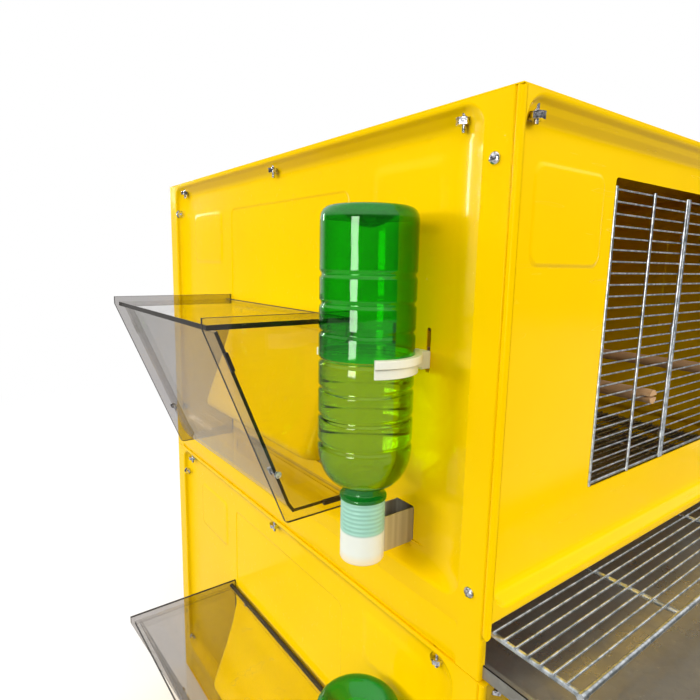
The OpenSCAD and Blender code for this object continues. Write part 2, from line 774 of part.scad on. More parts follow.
module hopper_screws() {
    color("silver") for (end = [0, 1])
        translate([slant_x(hopper_screw_z), end == 0 ? hopper_y0 : hopper_y1, hopper_screw_z])
            mirror([0, end, 0]) rotate([0, -atan2(slant_run, slant_rise), 0]) {
                // screw
                bar_y([0, -1.8, 0], 1.8, 5.6);
                bar_y([0, -eps, 0], 15, hopper_screw_d);
                // square nut
                difference() {
                    box([-acrylic_t / 2, 9.2, -3], [acrylic_t / 2, 11.8, 3]);
                    bar_y([0, 9, 0], 3, hopper_screw_d + 0.1);
                }
            }
}

module hopper_lid() {
    y0 = hopper_y0 + plate_t + slide_gap;
    y1 = hopper_y1 - plate_t - slide_gap;
    color([0.62, 0.6, 0.58, 0.45]) {
        box([plate_out_x + 4, y0, pin_z - acrylic_t / 2], [pin_x, y1, pin_z + acrylic_t / 2]);
        bar_y([pin_x, hopper_y0 - 1, pin_z], hopper_w + 2, lid_pin_d);
    }
}

// Painted sheet that throttles the seed, screwed to the end panel's face
module feed_baffle() {
    x1 = end_field_x - sheet_t / 2;
    color("gold") {
        slab_y(baffle_y0, baffle_y1)
            strip([[x1, pin_z - 5], [x1, baffle_top], [baffle_low.x, baffle_low.y],
                [baffle_low.x + 4, baffle_low.y - 5]], sheet_t);
        for (y = [baffle_y0 + 25, baffle_y1 - 25])
            bar_x([end_field_x - sheet_t - 1.2, y, pin_z - 9.5], 1.3, 5);
    }
}

// ---- Bottle drinker ----

// Shoulder, ribbed body and hollow bottom of the bottle as [radius, height], drawn in by the wall
function bottle_body(inset) = concat(
    [for (a = [0:15:90]) [
        waist_r - inset + (bottle_r - waist_r) * sin(a),
        shoulder_z - (shoulder_z - waist_z) * cos(a)]],
    [for (i = [0:rib_count - 1], k = [-2:2])
        [bottle_r - inset - (k == 0 ? rib_depth : 0), rib_z0 + i * rib_pitch + k * rib_half]],
    [for (p = bottom_curve) [max(p.x - inset, 0), bottle_top - p.y - inset]]
);

module bottle() {
    color([0.1, 0.62, 0.1, 0.6]) translate([bottle_x, bottle_y, 0]) rotate_extrude($fn = 64) difference() {
        polygon(concat([
            [0, mouth_z], [neck_r, mouth_z], [neck_r, collar_z], [collar_r, collar_z],
            [collar_r, collar_z + collar_h], [waist_r, collar_z + collar_h]], bottle_body(0)));
        polygon(concat([[0, mouth_z - 1], [waist_r - bottle_t, mouth_z - 1]], bottle_body(bottle_t)));
    }
}

module drinker_cup() {
    color("white") translate([bottle_x, bottle_y, 0]) difference() {
        translate([0, 0, cup_foot]) cylinder(h = cup_rim - cup_foot, r = cup_r);
        translate([0, 0, cup_foot + cup_t]) cylinder(h = cup_rim, r = cup_r - cup_t);
        box([4, -trough_w / 2 - hole_gap, trough_z - hole_gap],
            [2 * cup_r, trough_w / 2 + hole_gap, trough_top + hole_gap]);
    }
}

module drinker_trough() {
    x0 = trough_x0;
    y0 = bottle_y - trough_w / 2;
    color("lightgray") {
        difference() {
            box([x0, y0, trough_z], [trough_x1, y0 + trough_w, trough_top]);
            box([x0 - 1, y0 + trough_t, trough_z + trough_t],
                [trough_x1 - trough_t, y0 + trough_w - trough_t, trough_top + 1]);
        }
        // lugs that bear on the end panel's inner face
        for (side = [-1, 1])
            box([end_field_x + sheet_t, bottle_y + side * trough_w / 2 - (side < 0 ? 5 : eps), trough_z],
                [end_field_x + sheet_t + trough_t, bottle_y + side * trough_w / 2 + (side < 0 ? eps : 5), trough_top]);
    }
}

module bottle_clip() {
    flange_z = clip_top - clip_flange_t;
    low_z = clip_top - clip_h;
    tail_x = end_field_x + sheet_t + slide_gap;
    color("ivory") {
        // wide upper flange over a narrow band, open towards the outside
        translate([bottle_x, bottle_y, 0]) rotate(-clip_arc) rotate_extrude(angle = 2 * clip_arc)
            polygon([
                [clip_r, low_z], [clip_r + clip_band_t, low_z], [clip_r + clip_band_t, flange_z],
                [clip_r + clip_flange_w, flange_z], [clip_r + clip_flange_w, clip_top], [clip_r, clip_top]
            ]);
        // foot against the end panel
        difference() {
            box([bottle_x + clip_r * 0.8, bottle_y - tail_y - tail_t, low_z],
                [end_field_x, bottle_y + tail_y + tail_t, clip_top]);
            bar_z([bottle_x, bottle_y, 0], tier_h, 2 * clip_r + clip_band_t);
        }
        // hooked tails through the end panel's slots
        for (side = [-1, 1]) translate([0, bottle_y + side * tail_y, 0]) slab_y(-tail_t / 2, tail_t / 2)
            polygon([
                [end_field_x - 2, clip_top - 1], [tail_x + 3, clip_top - 1], [tail_x + 3, flange_z - 8],
                [tail_x, flange_z - 8], [tail_x, flange_z - 1], [end_field_x - 2, flange_z - 1]
            ]);
    }
}

// ---- Fasteners ----

module roof_screws() {
    color("silver") at_roof_screws() {
        bar_z([0, 0, ledge_z - nut_h - screw_end], tier_h - sink_h - ledge_z + nut_h + screw_end, screw_d);
        translate([0, 0, tier_h - sink_h - eps]) cylinder(h = sink_h, r1 = screw_d / 2, r2 = head_r);
    }
}

module corner_screws() {
    color("silver") for (side = [0, 1]) mirror([side, 0, 0]) at_corner_screws()
        rotate([0, -90, 0]) pan_screw(2 * sheet_t + nut_h + 3);
}

module back_screws() {
    color("silver") for (side = [0, 1]) mirror([side, 0, 0]) at_back_screws()
        rotate([-90, 0, 0]) pan_screw(end_back_rim_w + nut_h + screw_end);
}

module nuts() {
    color("silver") {
        at_roof_screws() translate([0, 0, ledge_z - nut_h]) nut();
        for (side = [0, 1]) mirror([side, 0, 0]) {
            at_corner_screws() translate([2 * sheet_t, 0, 0]) rotate([0, 90, 0]) nut();
            at_back_screws() translate([0, -end_back_rim_w, 0]) rotate([90, 0, 0]) nut();
        }
    }
}

// ---- Assembly ----

// One part of a tier by its plain name, in the tier's own frame
module tier_part(name) {
    if (name == "end_panel_left") end_panel_left();
    if (name == "end_panel_right") end_panel_right();
    if (name == "back_panel") back_panel();
    if (name == "roof_panel") roof_panel();
    if (name == "front_panel") front_panel();
    if (name == "grille_left") grille_left();
    if (name == "grille_right") grille_right();
    if (name == "door") door();
    if (name == "grille_runners") grille_runners();
    if (name == "floor_grille") floor_grille();
    if (name == "tray") tray();
    if (name == "perches") perches();
    if (name == "hopper_near_plate") hopper_near_plate();
    if (name == "hopper_far_plate") hopper_far_plate();
    if (name == "hopper_front_sheet") hopper_front_sheet();
    if (name == "hopper_lid") hopper_lid();
    if (name == "feed_baffle") feed_baffle();
    if (name == "hopper_screws") hopper_screws();
    if (name == "bottle") bottle();
    if (name == "drinker_cup") drinker_cup();
    if (name == "drinker_trough") drinker_trough();
    if (name == "bottle_clip") bottle_clip();
    if (name == "roof_screws") roof_screws();
    if (name == "corner_screws") corner_screws();
    if (name == "back_screws") back_screws();
    if (name == "nuts") nuts();
}

base_panel();
for (level = levels, part = PARTS)
    translate([0, 0, sheet_t + level * tier_h]) tier_part(part);
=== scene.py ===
"""Looks of a two-tier breeding cage: pressed yellow sheets, wire fronts, smoked hoppers and bottle drinkers.

Every mesh is made in millimetres of one tier's own frame, and is scaled and raised to its tier when it is placed.
"""

from __future__ import annotations

import json
import logging
import math
from dataclasses import dataclass, field
from enum import Enum
from typing import Any, Callable, Iterable, Sequence

import bmesh
import bpy
from mathutils import Matrix, Vector

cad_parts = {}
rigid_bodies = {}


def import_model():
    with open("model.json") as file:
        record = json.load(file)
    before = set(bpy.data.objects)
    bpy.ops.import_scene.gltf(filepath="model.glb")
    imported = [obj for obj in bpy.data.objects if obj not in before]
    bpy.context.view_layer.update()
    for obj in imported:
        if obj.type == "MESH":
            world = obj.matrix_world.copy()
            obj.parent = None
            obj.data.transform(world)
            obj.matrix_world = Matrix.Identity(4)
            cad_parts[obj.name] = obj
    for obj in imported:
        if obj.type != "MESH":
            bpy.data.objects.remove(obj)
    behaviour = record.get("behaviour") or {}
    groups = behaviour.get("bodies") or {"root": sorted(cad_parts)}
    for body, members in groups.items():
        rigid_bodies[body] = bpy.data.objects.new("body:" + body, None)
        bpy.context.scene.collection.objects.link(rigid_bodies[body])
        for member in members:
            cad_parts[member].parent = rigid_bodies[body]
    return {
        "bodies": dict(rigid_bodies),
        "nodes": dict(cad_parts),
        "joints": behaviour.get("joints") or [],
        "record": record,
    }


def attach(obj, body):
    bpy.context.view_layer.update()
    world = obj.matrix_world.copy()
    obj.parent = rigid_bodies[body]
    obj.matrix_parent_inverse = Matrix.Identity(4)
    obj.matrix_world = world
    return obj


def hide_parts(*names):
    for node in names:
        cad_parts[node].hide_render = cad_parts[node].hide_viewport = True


MM = 0.001
log = logging.getLogger("cage")
Colour = tuple[float, float, float]
Point = tuple[float, float, float]
Flat = tuple[float, float]


class Tier(Enum):
    """The two cages of the stack, each with the height of its floor in millimetres."""

    LOWER = ("lower", 1.0)
    UPPER = ("upper", 371.0)

    @property
    def label(self) -> str:
        """Name that the tier's nodes and bodies start with."""
        return self.value[0]

    @property
    def floor(self) -> float:
        """Height of the tier's own zero above the ground."""
        return self.value[1]


class Mover(Enum):
    """What a piece rides on inside its tier."""

    CAGE = "cage"
    LID = "lid"
    DOOR = "door"
    BOTTLE = "bottle"
    FLOOR_GRILLE = "floor_grille"
    TRAY = "tray"

    def body(self, tier: Tier) -> str:
        """Name of the body that carries the piece in a tier."""
        return self.value if self is Mover.CAGE else f"{tier.label}_{self.value}"


# ---- Shader nodes ----


class Sock:
    """A shader value that takes part in sums written as Python."""

    def __init__(self, graph: "Graph", socket: bpy.types.NodeSocket) -> None:
        """Keeps the graph, so that a sum can add its Math nodes to it."""
        self.graph, self.socket = graph, socket

    def maths(self, operation: str, *others: Any) -> "Sock":
        """Adds a Math node.

        Args:
            operation: The node's operation.
            others: What comes after this value in the sum.

        Returns:
            The result.
        """
        return self.graph.add("ShaderNodeMath", {"operation": operation}, dict(enumerate((self, *others))))

    def __add__(self, other: Any) -> "Sock":
        """Sum."""
        return self.maths("ADD", other)

    def __sub__(self, other: Any) -> "Sock":
        """Difference."""
        return self.maths("SUBTRACT", other)

    def __rsub__(self, other: Any) -> "Sock":
        """Difference from a number."""
        return self.graph.add("ShaderNodeMath", {"operation": "SUBTRACT"}, {0: other, 1: self})

    def __mul__(self, other: Any) -> "Sock":
        """Product."""
        return self.maths("MULTIPLY", other)

    __radd__ = __add__
    __rmul__ = __mul__

    def smooth(self, low: float, high: float) -> "Sock":
        """Rises smoothly from 0 at low to 1 at high.

        Args:
            low: The value that becomes 0.
            high: The value that becomes 1.

        Returns:
            The eased value.
        """
        settings = {"interpolation_type": "SMOOTHSTEP"}
        return self.graph.add("ShaderNodeMapRange", settings, {0: self, 1: low, 2: high, 3: 0.0, 4: 1.0})

    def band(self, low: float, high: float, edge: float) -> "Sock":
        """One between low and high and 0 elsewhere, with soft edges.

        Args:
            low: Where the band starts.
            high: Where it ends.
            edge: How wide its soft edges are.

        Returns:
            The band's mask.
        """
        return self.smooth(low - edge, low) * (1.0 - self.smooth(high, high + edge))


class Graph:
    """The node tree of one material or world."""

    def __init__(self, owner: Any) -> None:
        """Empties the owner's tree."""
        owner.use_nodes = True
        self.tree = owner.node_tree
        self.tree.nodes.clear()

    def add(self, kind: str, settings: dict[str, Any], inputs: dict[Any, Any], out: int | str = 0) -> Sock:
        """Adds any node.

        Args:
            kind: The node's type.
            settings: Its own settings.
            inputs: A value or a link for each socket, by name or place.
            out: The output that is wanted.

        Returns:
            That output.
        """
        node = self.tree.nodes.new(kind)
        for name, value in settings.items():
            setattr(node, name, value)
        for name, value in inputs.items():
            if isinstance(value, Sock):
                self.tree.links.new(value.socket, node.inputs[name])
            elif isinstance(value, tuple) and len(value) == 3 and node.inputs[name].type == "RGBA":
                node.inputs[name].default_value = (*value, 1.0)
            elif value is not None:
                node.inputs[name].default_value = value
        return Sock(self, node.outputs[out])

    def place(self, scale: Point = (1.0, 1.0, 1.0), turn: Point = (0.0, 0.0, 0.0)) -> Sock:
        """Object coordinates, stretched and turned."""
        coordinates = self.add("ShaderNodeTexCoord", {}, {}, "Object")
        return self.add("ShaderNodeMapping", {}, {"Vector": coordinates, "Scale": scale, "Rotation": turn})

    def height(self) -> Sock:
        """Height above the ground in metres."""
        return self.add("ShaderNodeSeparateXYZ", {}, {0: self.place()}, 2)

    def noise(self, vector: Sock, scale: float, detail: float = 2.0, rough: float = 0.5) -> Sock:
        """A soft noise between 0 and 1.

        Args:
            vector: Where it is read.
            scale: Waves per metre.
            detail: Layers of finer noise.
            rough: Strength of the finer layers.

        Returns:
            The noise.
        """
        links = {"Vector": vector, "Scale": scale, "Detail": detail, "Roughness": rough}
        return self.add("ShaderNodeTexNoise", {}, links)

    def tint(self, factor: Any, first: Any, second: Any) -> Sock:
        """Mixes two colours."""
        return self.add("ShaderNodeMix", {"data_type": "RGBA"}, {0: factor, 6: first, 7: second}, 2)

    def bump(self, height: Sock, metres: float) -> Sock:
        """Turns a height pattern into a normal."""
        return self.add("ShaderNodeBump", {}, {"Height": height, "Distance": metres, "Strength": 1.0})

    def principled(self, **sockets: Any) -> Sock:
        """A Principled shader, its sockets named with _ for a space."""
        return self.add(
            "ShaderNodeBsdfPrincipled", {}, {name.replace("_", " "): value for name, value in sockets.items()}
        )

    def output(self, shader: Sock, kind: str = "ShaderNodeOutputMaterial") -> None:
        """Adds the output node and links the shader's surface to it."""
        node = self.tree.nodes.new(kind)
        self.tree.links.new(shader.socket, node.inputs["Surface"])

    def coat(self, **sockets: Any) -> None:
        """Makes the whole surface one Principled shader."""
        self.output(self.principled(**sockets))

    def ray(self, *kinds: str) -> Sock:
        """One for a ray of any of the kinds, by their names on Light Path."""
        path = self.tree.nodes.new("ShaderNodeLightPath")
        found = [Sock(self, path.outputs[kind]) for kind in kinds]
        total = found[0]
        for other in found[1:]:
            total = total.maths("MAXIMUM", other)
        return total


# ---- Finishes ----


@dataclass(frozen=True)
class Finish:
    """A finish that is made once and shared by the pieces that wear it."""

    name: str

    def material(self) -> bpy.types.Material:
        """The finish's material, made on first use under a name that the CAD model's own materials don't have."""
        label = f"{self.name}_finish"
        found = bpy.data.materials.get(label)
        if found is None:
            found = bpy.data.materials.new(label)
            self.draw(Graph(found))
        return found

    def draw(self, graph: Graph) -> None:
        """Draws the finish's nodes."""
        raise NotImplementedError


@dataclass(frozen=True)
class YellowPaint(Finish):
    """Glossy yellow powder coat with a fine orange peel and a few hair scratches."""

    name: str = "yellow_paint"
    colour: Colour = (0.94, 0.595, 0.0)
    deep: Colour = (0.925, 0.565, 0.0)

    def draw(self, graph: Graph) -> None:
        """Draws the paint: cloudy colour, orange peel and scratches."""
        spot = graph.place()
        clouds = graph.noise(spot, 9.0, 3.0)
        peel = graph.noise(spot, 420.0, 1.0)
        long_spot = graph.place((14.0, 230.0, 160.0), (0.5, 0.3, 0.9))
        scratch = graph.noise(long_spot, 1.0, 1.0).band(0.70, 0.712, 0.004)
        swell = graph.noise(spot, 26.0, 1.0)
        height = peel * 0.35 + swell * 3.0 - scratch * 0.5
        rough = 0.12 + clouds * 0.06 + scratch * 0.2
        graph.coat(
            Base_Color=graph.tint(clouds.smooth(0.3, 0.75), self.colour, self.deep),
            Roughness=rough,
            Specular_IOR_Level=0.17,
            Specular_Tint=(1.0, 0.80, 0.10, 1.0),
            Normal=graph.bump(height, 0.00008),
        )


@dataclass(frozen=True)
class ZincWire(Finish):
    """Bright galvanised wire with dull spots and small dents."""

    name: str = "zinc_wire"
    bright: Colour = (0.78, 0.82, 0.84)
    dull: Colour = (0.36, 0.40, 0.42)

    def draw(self, graph: Graph) -> None:
        """Draws the zinc: mottled grey and small dents."""
        mottle = graph.noise(graph.place(), 160.0, 3.0, 0.6)
        graph.coat(
            Base_Color=graph.tint(mottle.smooth(0.35, 0.65), self.bright, self.dull),
            Metallic=0.95,
            Roughness=0.22 + mottle * 0.2,
            Normal=graph.bump(graph.noise(graph.place(), 700.0, 2.0), 0.00006),
        )


@dataclass(frozen=True)
class Galvanised(Finish):
    """Galvanised sheet with large soft spangles, dust and pale specks."""

    name: str = "galvanised_sheet"
    light: Colour = (0.41, 0.395, 0.355)
    dark: Colour = (0.20, 0.185, 0.16)

    def draw(self, graph: Graph) -> None:
        """Draws the spangles and the dust on them."""
        spot = graph.place()
        flakes = graph.add("ShaderNodeTexVoronoi", {}, {"Vector": spot, "Scale": 160.0, "Randomness": 1.0}, "Color")
        flake = graph.add("ShaderNodeSeparateColor", {}, {0: flakes}, 0)
        dust = graph.noise(spot, 14.0, 5.0, 0.65).smooth(0.42, 0.72)
        specks = graph.noise(spot, 420.0, 1.0).smooth(0.72, 0.78)
        tone = graph.tint(flake * 0.18 + dust * 0.6, self.light, self.dark)
        graph.coat(
            Base_Color=graph.tint(specks * 0.5, tone, (0.55, 0.52, 0.42)),
            Metallic=0.85 - dust * 0.2,
            Roughness=0.26 + flake * 0.04 + dust * 0.22,
            Normal=graph.bump(graph.noise(spot, 60.0, 2.0), 0.0001),
        )


@dataclass(frozen=True)
class Stainless(Finish):
    """Thin stainless strip with an upright grain, and light and warm dark upright stripes that are painted reflections.
    """

    name: str = "stainless_sheet"
    light: Colour = (0.72, 0.69, 0.60)
    dark: Colour = (0.34, 0.30, 0.23)

    def draw(self, graph: Graph) -> None:
        """Draws the brushed steel with its grain and its painted reflection stripes."""
        # The upright light and warm dark stripes are painted reflections of the surroundings, not the steel's own
        # colour.
        reflection_stripes = graph.noise(graph.place((90.0, 90.0, 2.0)), 1.0, 2.0).smooth(0.35, 0.65)
        grain = graph.noise(graph.place((1500.0, 1500.0, 30.0)), 1.0, 2.0)
        graph.coat(
            Base_Color=graph.tint(reflection_stripes, self.light, self.dark),
            Metallic=0.5,
            Roughness=0.24 + grain * 0.12,
            Normal=graph.bump(grain, 0.00003),
        )


@dataclass(frozen=True)
class ZincFastener(Finish):
    """Plated screw and nut, shiny with dark plating stains."""

    name: str = "zinc_fastener"

    def draw(self, graph: Graph) -> None:
        """Draws the plating and its stains."""
        stain = graph.noise(graph.place(), 520.0, 3.0, 0.6)
        graph.coat(
            Base_Color=graph.tint(stain.smooth(0.4, 0.7), (0.90, 0.90, 0.92), (0.20, 0.20, 0.22)),
            Metallic=1.0,
            Roughness=0.10 + stain * 0.16,
        )


@dataclass(frozen=True)
class Beech(Finish):
    """Turned beech with grain along Y and short darker flecks."""

    name: str = "beech"

    def draw(self, graph: Graph) -> None:
        """Draws the long grain and the flecks."""
        grain = graph.noise(graph.place((260.0, 7.0, 260.0)), 1.0, 4.0, 0.6)
        fleck = graph.noise(graph.place((900.0, 120.0, 900.0)), 1.0, 1.0).smooth(0.66, 0.72)
        wood = graph.tint(grain, (0.60, 0.38, 0.19), (0.44, 0.24, 0.10))
        graph.coat(
            Base_Color=graph.tint(fleck * 0.6, wood, (0.28, 0.14, 0.06)),
            Roughness=0.55 + grain * 0.15,
            Normal=graph.bump(grain, 0.0002),
        )


class Pane:
    """Shared nodes of the clear plastics: a tinted clear face with a gloss that grows towards its edge-on view."""

    @staticmethod
    def clear(
        graph: Graph, tint: Colour, edge: Colour, rough: float, sheen: float, haze: Sock | float, dust: Colour,
        normal: Sock, ior: float, shade: Colour,
    ) -> Sock:
        """Mixes the tinted clear face with its gloss and a little haze.

        Args:
            graph: The material's tree.
            tint: What one face lets through.
            edge: What it lets through where it is seen edge-on.
            rough: Roughness of the gloss.
            sheen: Strength of the gloss.
            haze: Share of scratches or colour that scatters.
            dust: Colour of that share.
            normal: Normal of the gloss.
            ior: Refraction index that sets the gloss.
            shade: What one face lets through of a lamp's light.

        Returns:
            The shader.
        """
        facing = graph.add("ShaderNodeLayerWeight", {}, {"Blend": 0.5, "Normal": normal}, "Facing")
        flat = graph.add("ShaderNodeLayerWeight", {}, {"Blend": 0.5}, "Facing")
        plain = graph.add("ShaderNodeBsdfTransparent", {}, {"Color": tint})
        slant = graph.add("ShaderNodeBsdfTransparent", {}, {"Color": edge})
        through = graph.add("ShaderNodeMixShader", {}, {0: flat.maths("POWER", 3.0), 1: plain, 2: slant})
        matt = graph.principled(Base_Color=(*dust, 1.0), Roughness=0.5)
        through = graph.add("ShaderNodeMixShader", {}, {0: haze, 1: through, 2: matt})
        gloss = graph.add(
            "ShaderNodeBsdfGlossy", {}, {"Color": (sheen, sheen, sheen), "Roughness": rough, "Normal": normal}
        )
        straight = ((ior - 1) / (ior + 1)) ** 2
        shine = facing.maths("POWER", 5.0) * (1.0 - straight) + straight
        seen = graph.add("ShaderNodeMixShader", {}, {0: shine, 1: through, 2: gloss})
        lit = graph.add("ShaderNodeBsdfTransparent", {}, {"Color": shade})
        return graph.add("ShaderNodeMixShader", {}, {0: graph.ray("Is Shadow Ray"), 1: seen, 2: lit})


@dataclass(frozen=True)
class SmokedAcrylic(Finish):
    """Broad face of the smoked plates: grey, glossy, with hair scratches."""

    name: str = "smoked_acrylic"
    tint: Colour = (0.94, 0.93, 0.915)
    sheen: float = 0.9

    def draw(self, graph: Graph) -> None:
        """Draws the face with its scratches."""
        spot = graph.place((30.0, 30.0, 420.0), (0.7, 0.4, 0.2))
        hair = graph.noise(spot, 1.0, 2.0).band(0.655, 0.662, 0.003)
        normal = graph.bump(graph.noise(graph.place(), 30.0, 1.0), 0.00004)
        grey, light = (0.42, 0.40, 0.37), (0.97, 0.97, 0.96)
        graph.output(Pane.clear(graph, self.tint, self.tint, 0.03, self.sheen, hair * 0.10, grey, normal, 1.49, light))


NEAR_ACRYLIC = SmokedAcrylic("smoked_acrylic_near", (0.92, 0.912, 0.90), 0.7)
FAR_ACRYLIC = SmokedAcrylic("smoked_acrylic_far", (0.70, 0.685, 0.68), 0.7)


@dataclass(frozen=True)
class AcrylicEdge(Finish):
    """Sawn edge of the smoked plates: nearly black, with saw marks."""

    name: str = "smoked_acrylic_edge"

    def draw(self, graph: Graph) -> None:
        """Draws the dark edge."""
        saw = graph.noise(graph.place((900.0, 900.0, 900.0)), 1.0, 2.0)
        graph.coat(
            Base_Color=graph.tint(saw, (0.010, 0.008, 0.006), (0.035, 0.029, 0.023)),
            Roughness=0.30 + saw * 0.15,
            Specular_IOR_Level=0.25,
            Normal=graph.bump(saw, 0.00005),
        )


@dataclass(frozen=True)
class BottleGreen(Finish):
    """Thin green bottle wall, darker where it is seen edge-on."""

    name: str = "green_bottle_wet"
    tint: Colour = (0.74, 0.905, 0.06)
    edge: Colour = (0.42, 0.68, 0.04)
    body: float = 0.0

    def draw(self, graph: Graph) -> None:
        """Draws the clear wall with its ripples."""
        ripple = graph.noise(graph.place((55.0, 55.0, 16.0)), 1.0, 2.0)
        normal = graph.bump(ripple, 0.0003)
        green, shade = (0.0, 0.22, 0.02), (0.77, 0.75, 0.30)
        graph.output(Pane.clear(graph, self.tint, self.edge, 0.04, 0.9, self.body, green, normal, 1.5, shade))


DRY_GREEN = BottleGreen("green_bottle_dry", (0.24, 0.85, 0.10), (0.03, 0.42, 0.03), 0.02)
THICK_GREEN = BottleGreen("green_bottle_thick", (0.20, 0.86, 0.20), (0.02, 0.50, 0.08), 0.35)


@dataclass(frozen=True)
class Water(Finish):
    """Water in the bottle, with a faint green of its own."""

    name: str = "drinking_water"

    def draw(self, graph: Graph) -> None:
        """Draws clear water that lets lamp light straight through."""
        glass = graph.principled(
            Base_Color=(0.93, 0.97, 0.86, 1.0), Transmission_Weight=1.0, IOR=1.333, Roughness=0.02
        )
        through = graph.add("ShaderNodeBsdfTransparent", {}, {"Color": (0.97, 0.99, 0.93)})
        graph.output(graph.add("ShaderNodeMixShader", {}, {0: graph.ray("Is Shadow Ray"), 1: glass, 2: through}))


@dataclass(frozen=True)
class WaterTop(Finish):
    """Top of the water, a partly clear disc with a painted bright teal sheen."""

    name: str = "water_top"

    def draw(self, graph: Graph) -> None:
        """Draws the disc, partly clear, with its painted teal sheen."""
        ripple = graph.noise(graph.place(), 60.0, 1.0)
        # The teal is a painted sheen for the light on the water's surface; clear water has no colour like it.
        teal = graph.principled(
            Base_Color=graph.tint(ripple, (0.10, 0.85, 0.50), (0.16, 1.0, 0.66)), Roughness=0.1
        )
        clear = graph.add("ShaderNodeBsdfTransparent", {}, {"Color": (0.75, 1.0, 0.85)})
        graph.output(graph.add("ShaderNodeMixShader", {}, {0: 0.6, 1: clear, 2: teal}))


@dataclass(frozen=True)
class MilkyPlastic(Finish):
    """Translucent drinker cup, warmer at its foot, with the bottle's neck showing through it painted in as a teal band.
    """

    name: str = "milky_plastic"

    def draw(self, graph: Graph) -> None:
        """Draws the cup's colours by height, with the painted teal of the neck behind it and the thread's turns as
        faint rings in that band.
        """
        height = graph.height()
        local = height - 0.001 - height.maths("GREATER_THAN", 0.371) * 0.370
        thread = (local * 2000.0).maths("SINE") * 0.5 + 0.5
        # The teal band is the bottle's neck seen through the cup, painted into the cup's colour.
        neck = local.band(0.083, 0.110, 0.0025)
        foot = 1.0 - local.smooth(0.0600, 0.0685)
        milk = graph.tint(foot, (0.80, 0.82, 0.72), (0.87, 0.74, 0.46))
        teal = graph.tint(thread * 0.35, (0.27, 0.60, 0.46), (0.16, 0.46, 0.34))
        graph.coat(
            Base_Color=graph.tint(neck * 0.85, milk, teal),
            Roughness=0.32 + graph.noise(graph.place(), 90.0) * 0.1,
            Subsurface_Weight=0.25,
            Subsurface_Radius=(0.004, 0.004, 0.003),
            Normal=graph.bump(thread * neck, 0.0002),
        )


@dataclass(frozen=True)
class WhitePlastic(Finish):
    """Moulded white clip, slightly waxy, with a faint moulding texture."""

    name: str = "white_plastic"

    def draw(self, graph: Graph) -> None:
        """Draws the waxy white."""
        grain = graph.noise(graph.place(), 380.0, 2.0)
        graph.coat(
            Base_Color=graph.tint(grain, (0.83, 0.83, 0.70), (0.76, 0.77, 0.64)),
            Roughness=0.32 + grain * 0.12,
            Normal=graph.bump(grain, 0.00004),
        )


@dataclass(frozen=True)
class PaleGround(Finish):
    """Floor that is pale to the camera, white further off, and a dim matt to the lamps' bounce."""

    name: str = "pale_ground"

    def draw(self, graph: Graph) -> None:
        """Draws a dim matt to the lamps, and to the camera white over a pale matt that keeps the shadow."""
        spot = graph.place()
        grain = graph.noise(spot, 3.0)
        away = graph.add("ShaderNodeVectorMath", {"operation": "LENGTH"}, {0: spot}, "Value").smooth(0.9, 2.4)
        matt = graph.principled(Base_Color=graph.tint(grain, (0.09, 0.09, 0.09), (0.07, 0.07, 0.07)), Roughness=0.9)
        white = graph.add("ShaderNodeEmission", {}, {"Color": (1.0, 1.0, 1.0), "Strength": 1.0})
        seen = graph.ray("Is Camera Ray", "Is Transmission Ray").maths("MAXIMUM", graph.ray("Is Glossy Ray") * 0.4)
        pale = graph.principled(Base_Color=graph.tint(grain, (0.90, 0.90, 0.90), (0.86, 0.86, 0.86)), Roughness=0.9)
        shown = graph.add("ShaderNodeMixShader", {}, {0: away * 0.8 + 0.2, 1: pale, 2: white})
        graph.output(graph.add("ShaderNodeMixShader", {}, {0: seen, 1: matt, 2: shown}))


# ---- Bench ----


@dataclass(frozen=True)
class Sides:
    """One number for each side of a pressing, in its own plane."""

    left: float
    right: float
    bottom: float
    top: float


@dataclass(frozen=True)
class Rect:
    """A rounded rectangle in a panel's plane."""

    left: float
    bottom: float
    right: float
    top: float
    radius: float

    def grown(self, sides: Sides | float, radius: float) -> "Rect":
        """The rectangle let out on each side, or drawn in by a negative number.

        Args:
            sides: How far each side moves outwards.
            radius: The new corner radius.

        Returns:
            The new rectangle.
        """
        if not isinstance(sides, Sides):
            sides = Sides(sides, sides, sides, sides)
        return Rect(
            self.left - sides.left, self.bottom - sides.bottom, self.right + sides.right, self.top + sides.top, radius
        )

    def centre(self, spot: Vector, guide: "Rect") -> Vector:
        """Centre of the rounded corner that a point belongs to.

        Args:
            spot: The point.
            guide: The rectangle whose middle tells the corners apart.

        Returns:
            The corner's centre in the plane.
        """
        to_left, to_bottom = 2 * spot.x < guide.left + guide.right, 2 * spot.y < guide.bottom + guide.top
        return Vector((
            self.left + self.radius if to_left else self.right - self.radius,
            self.bottom + self.radius if to_bottom else self.top - self.radius,
        ))


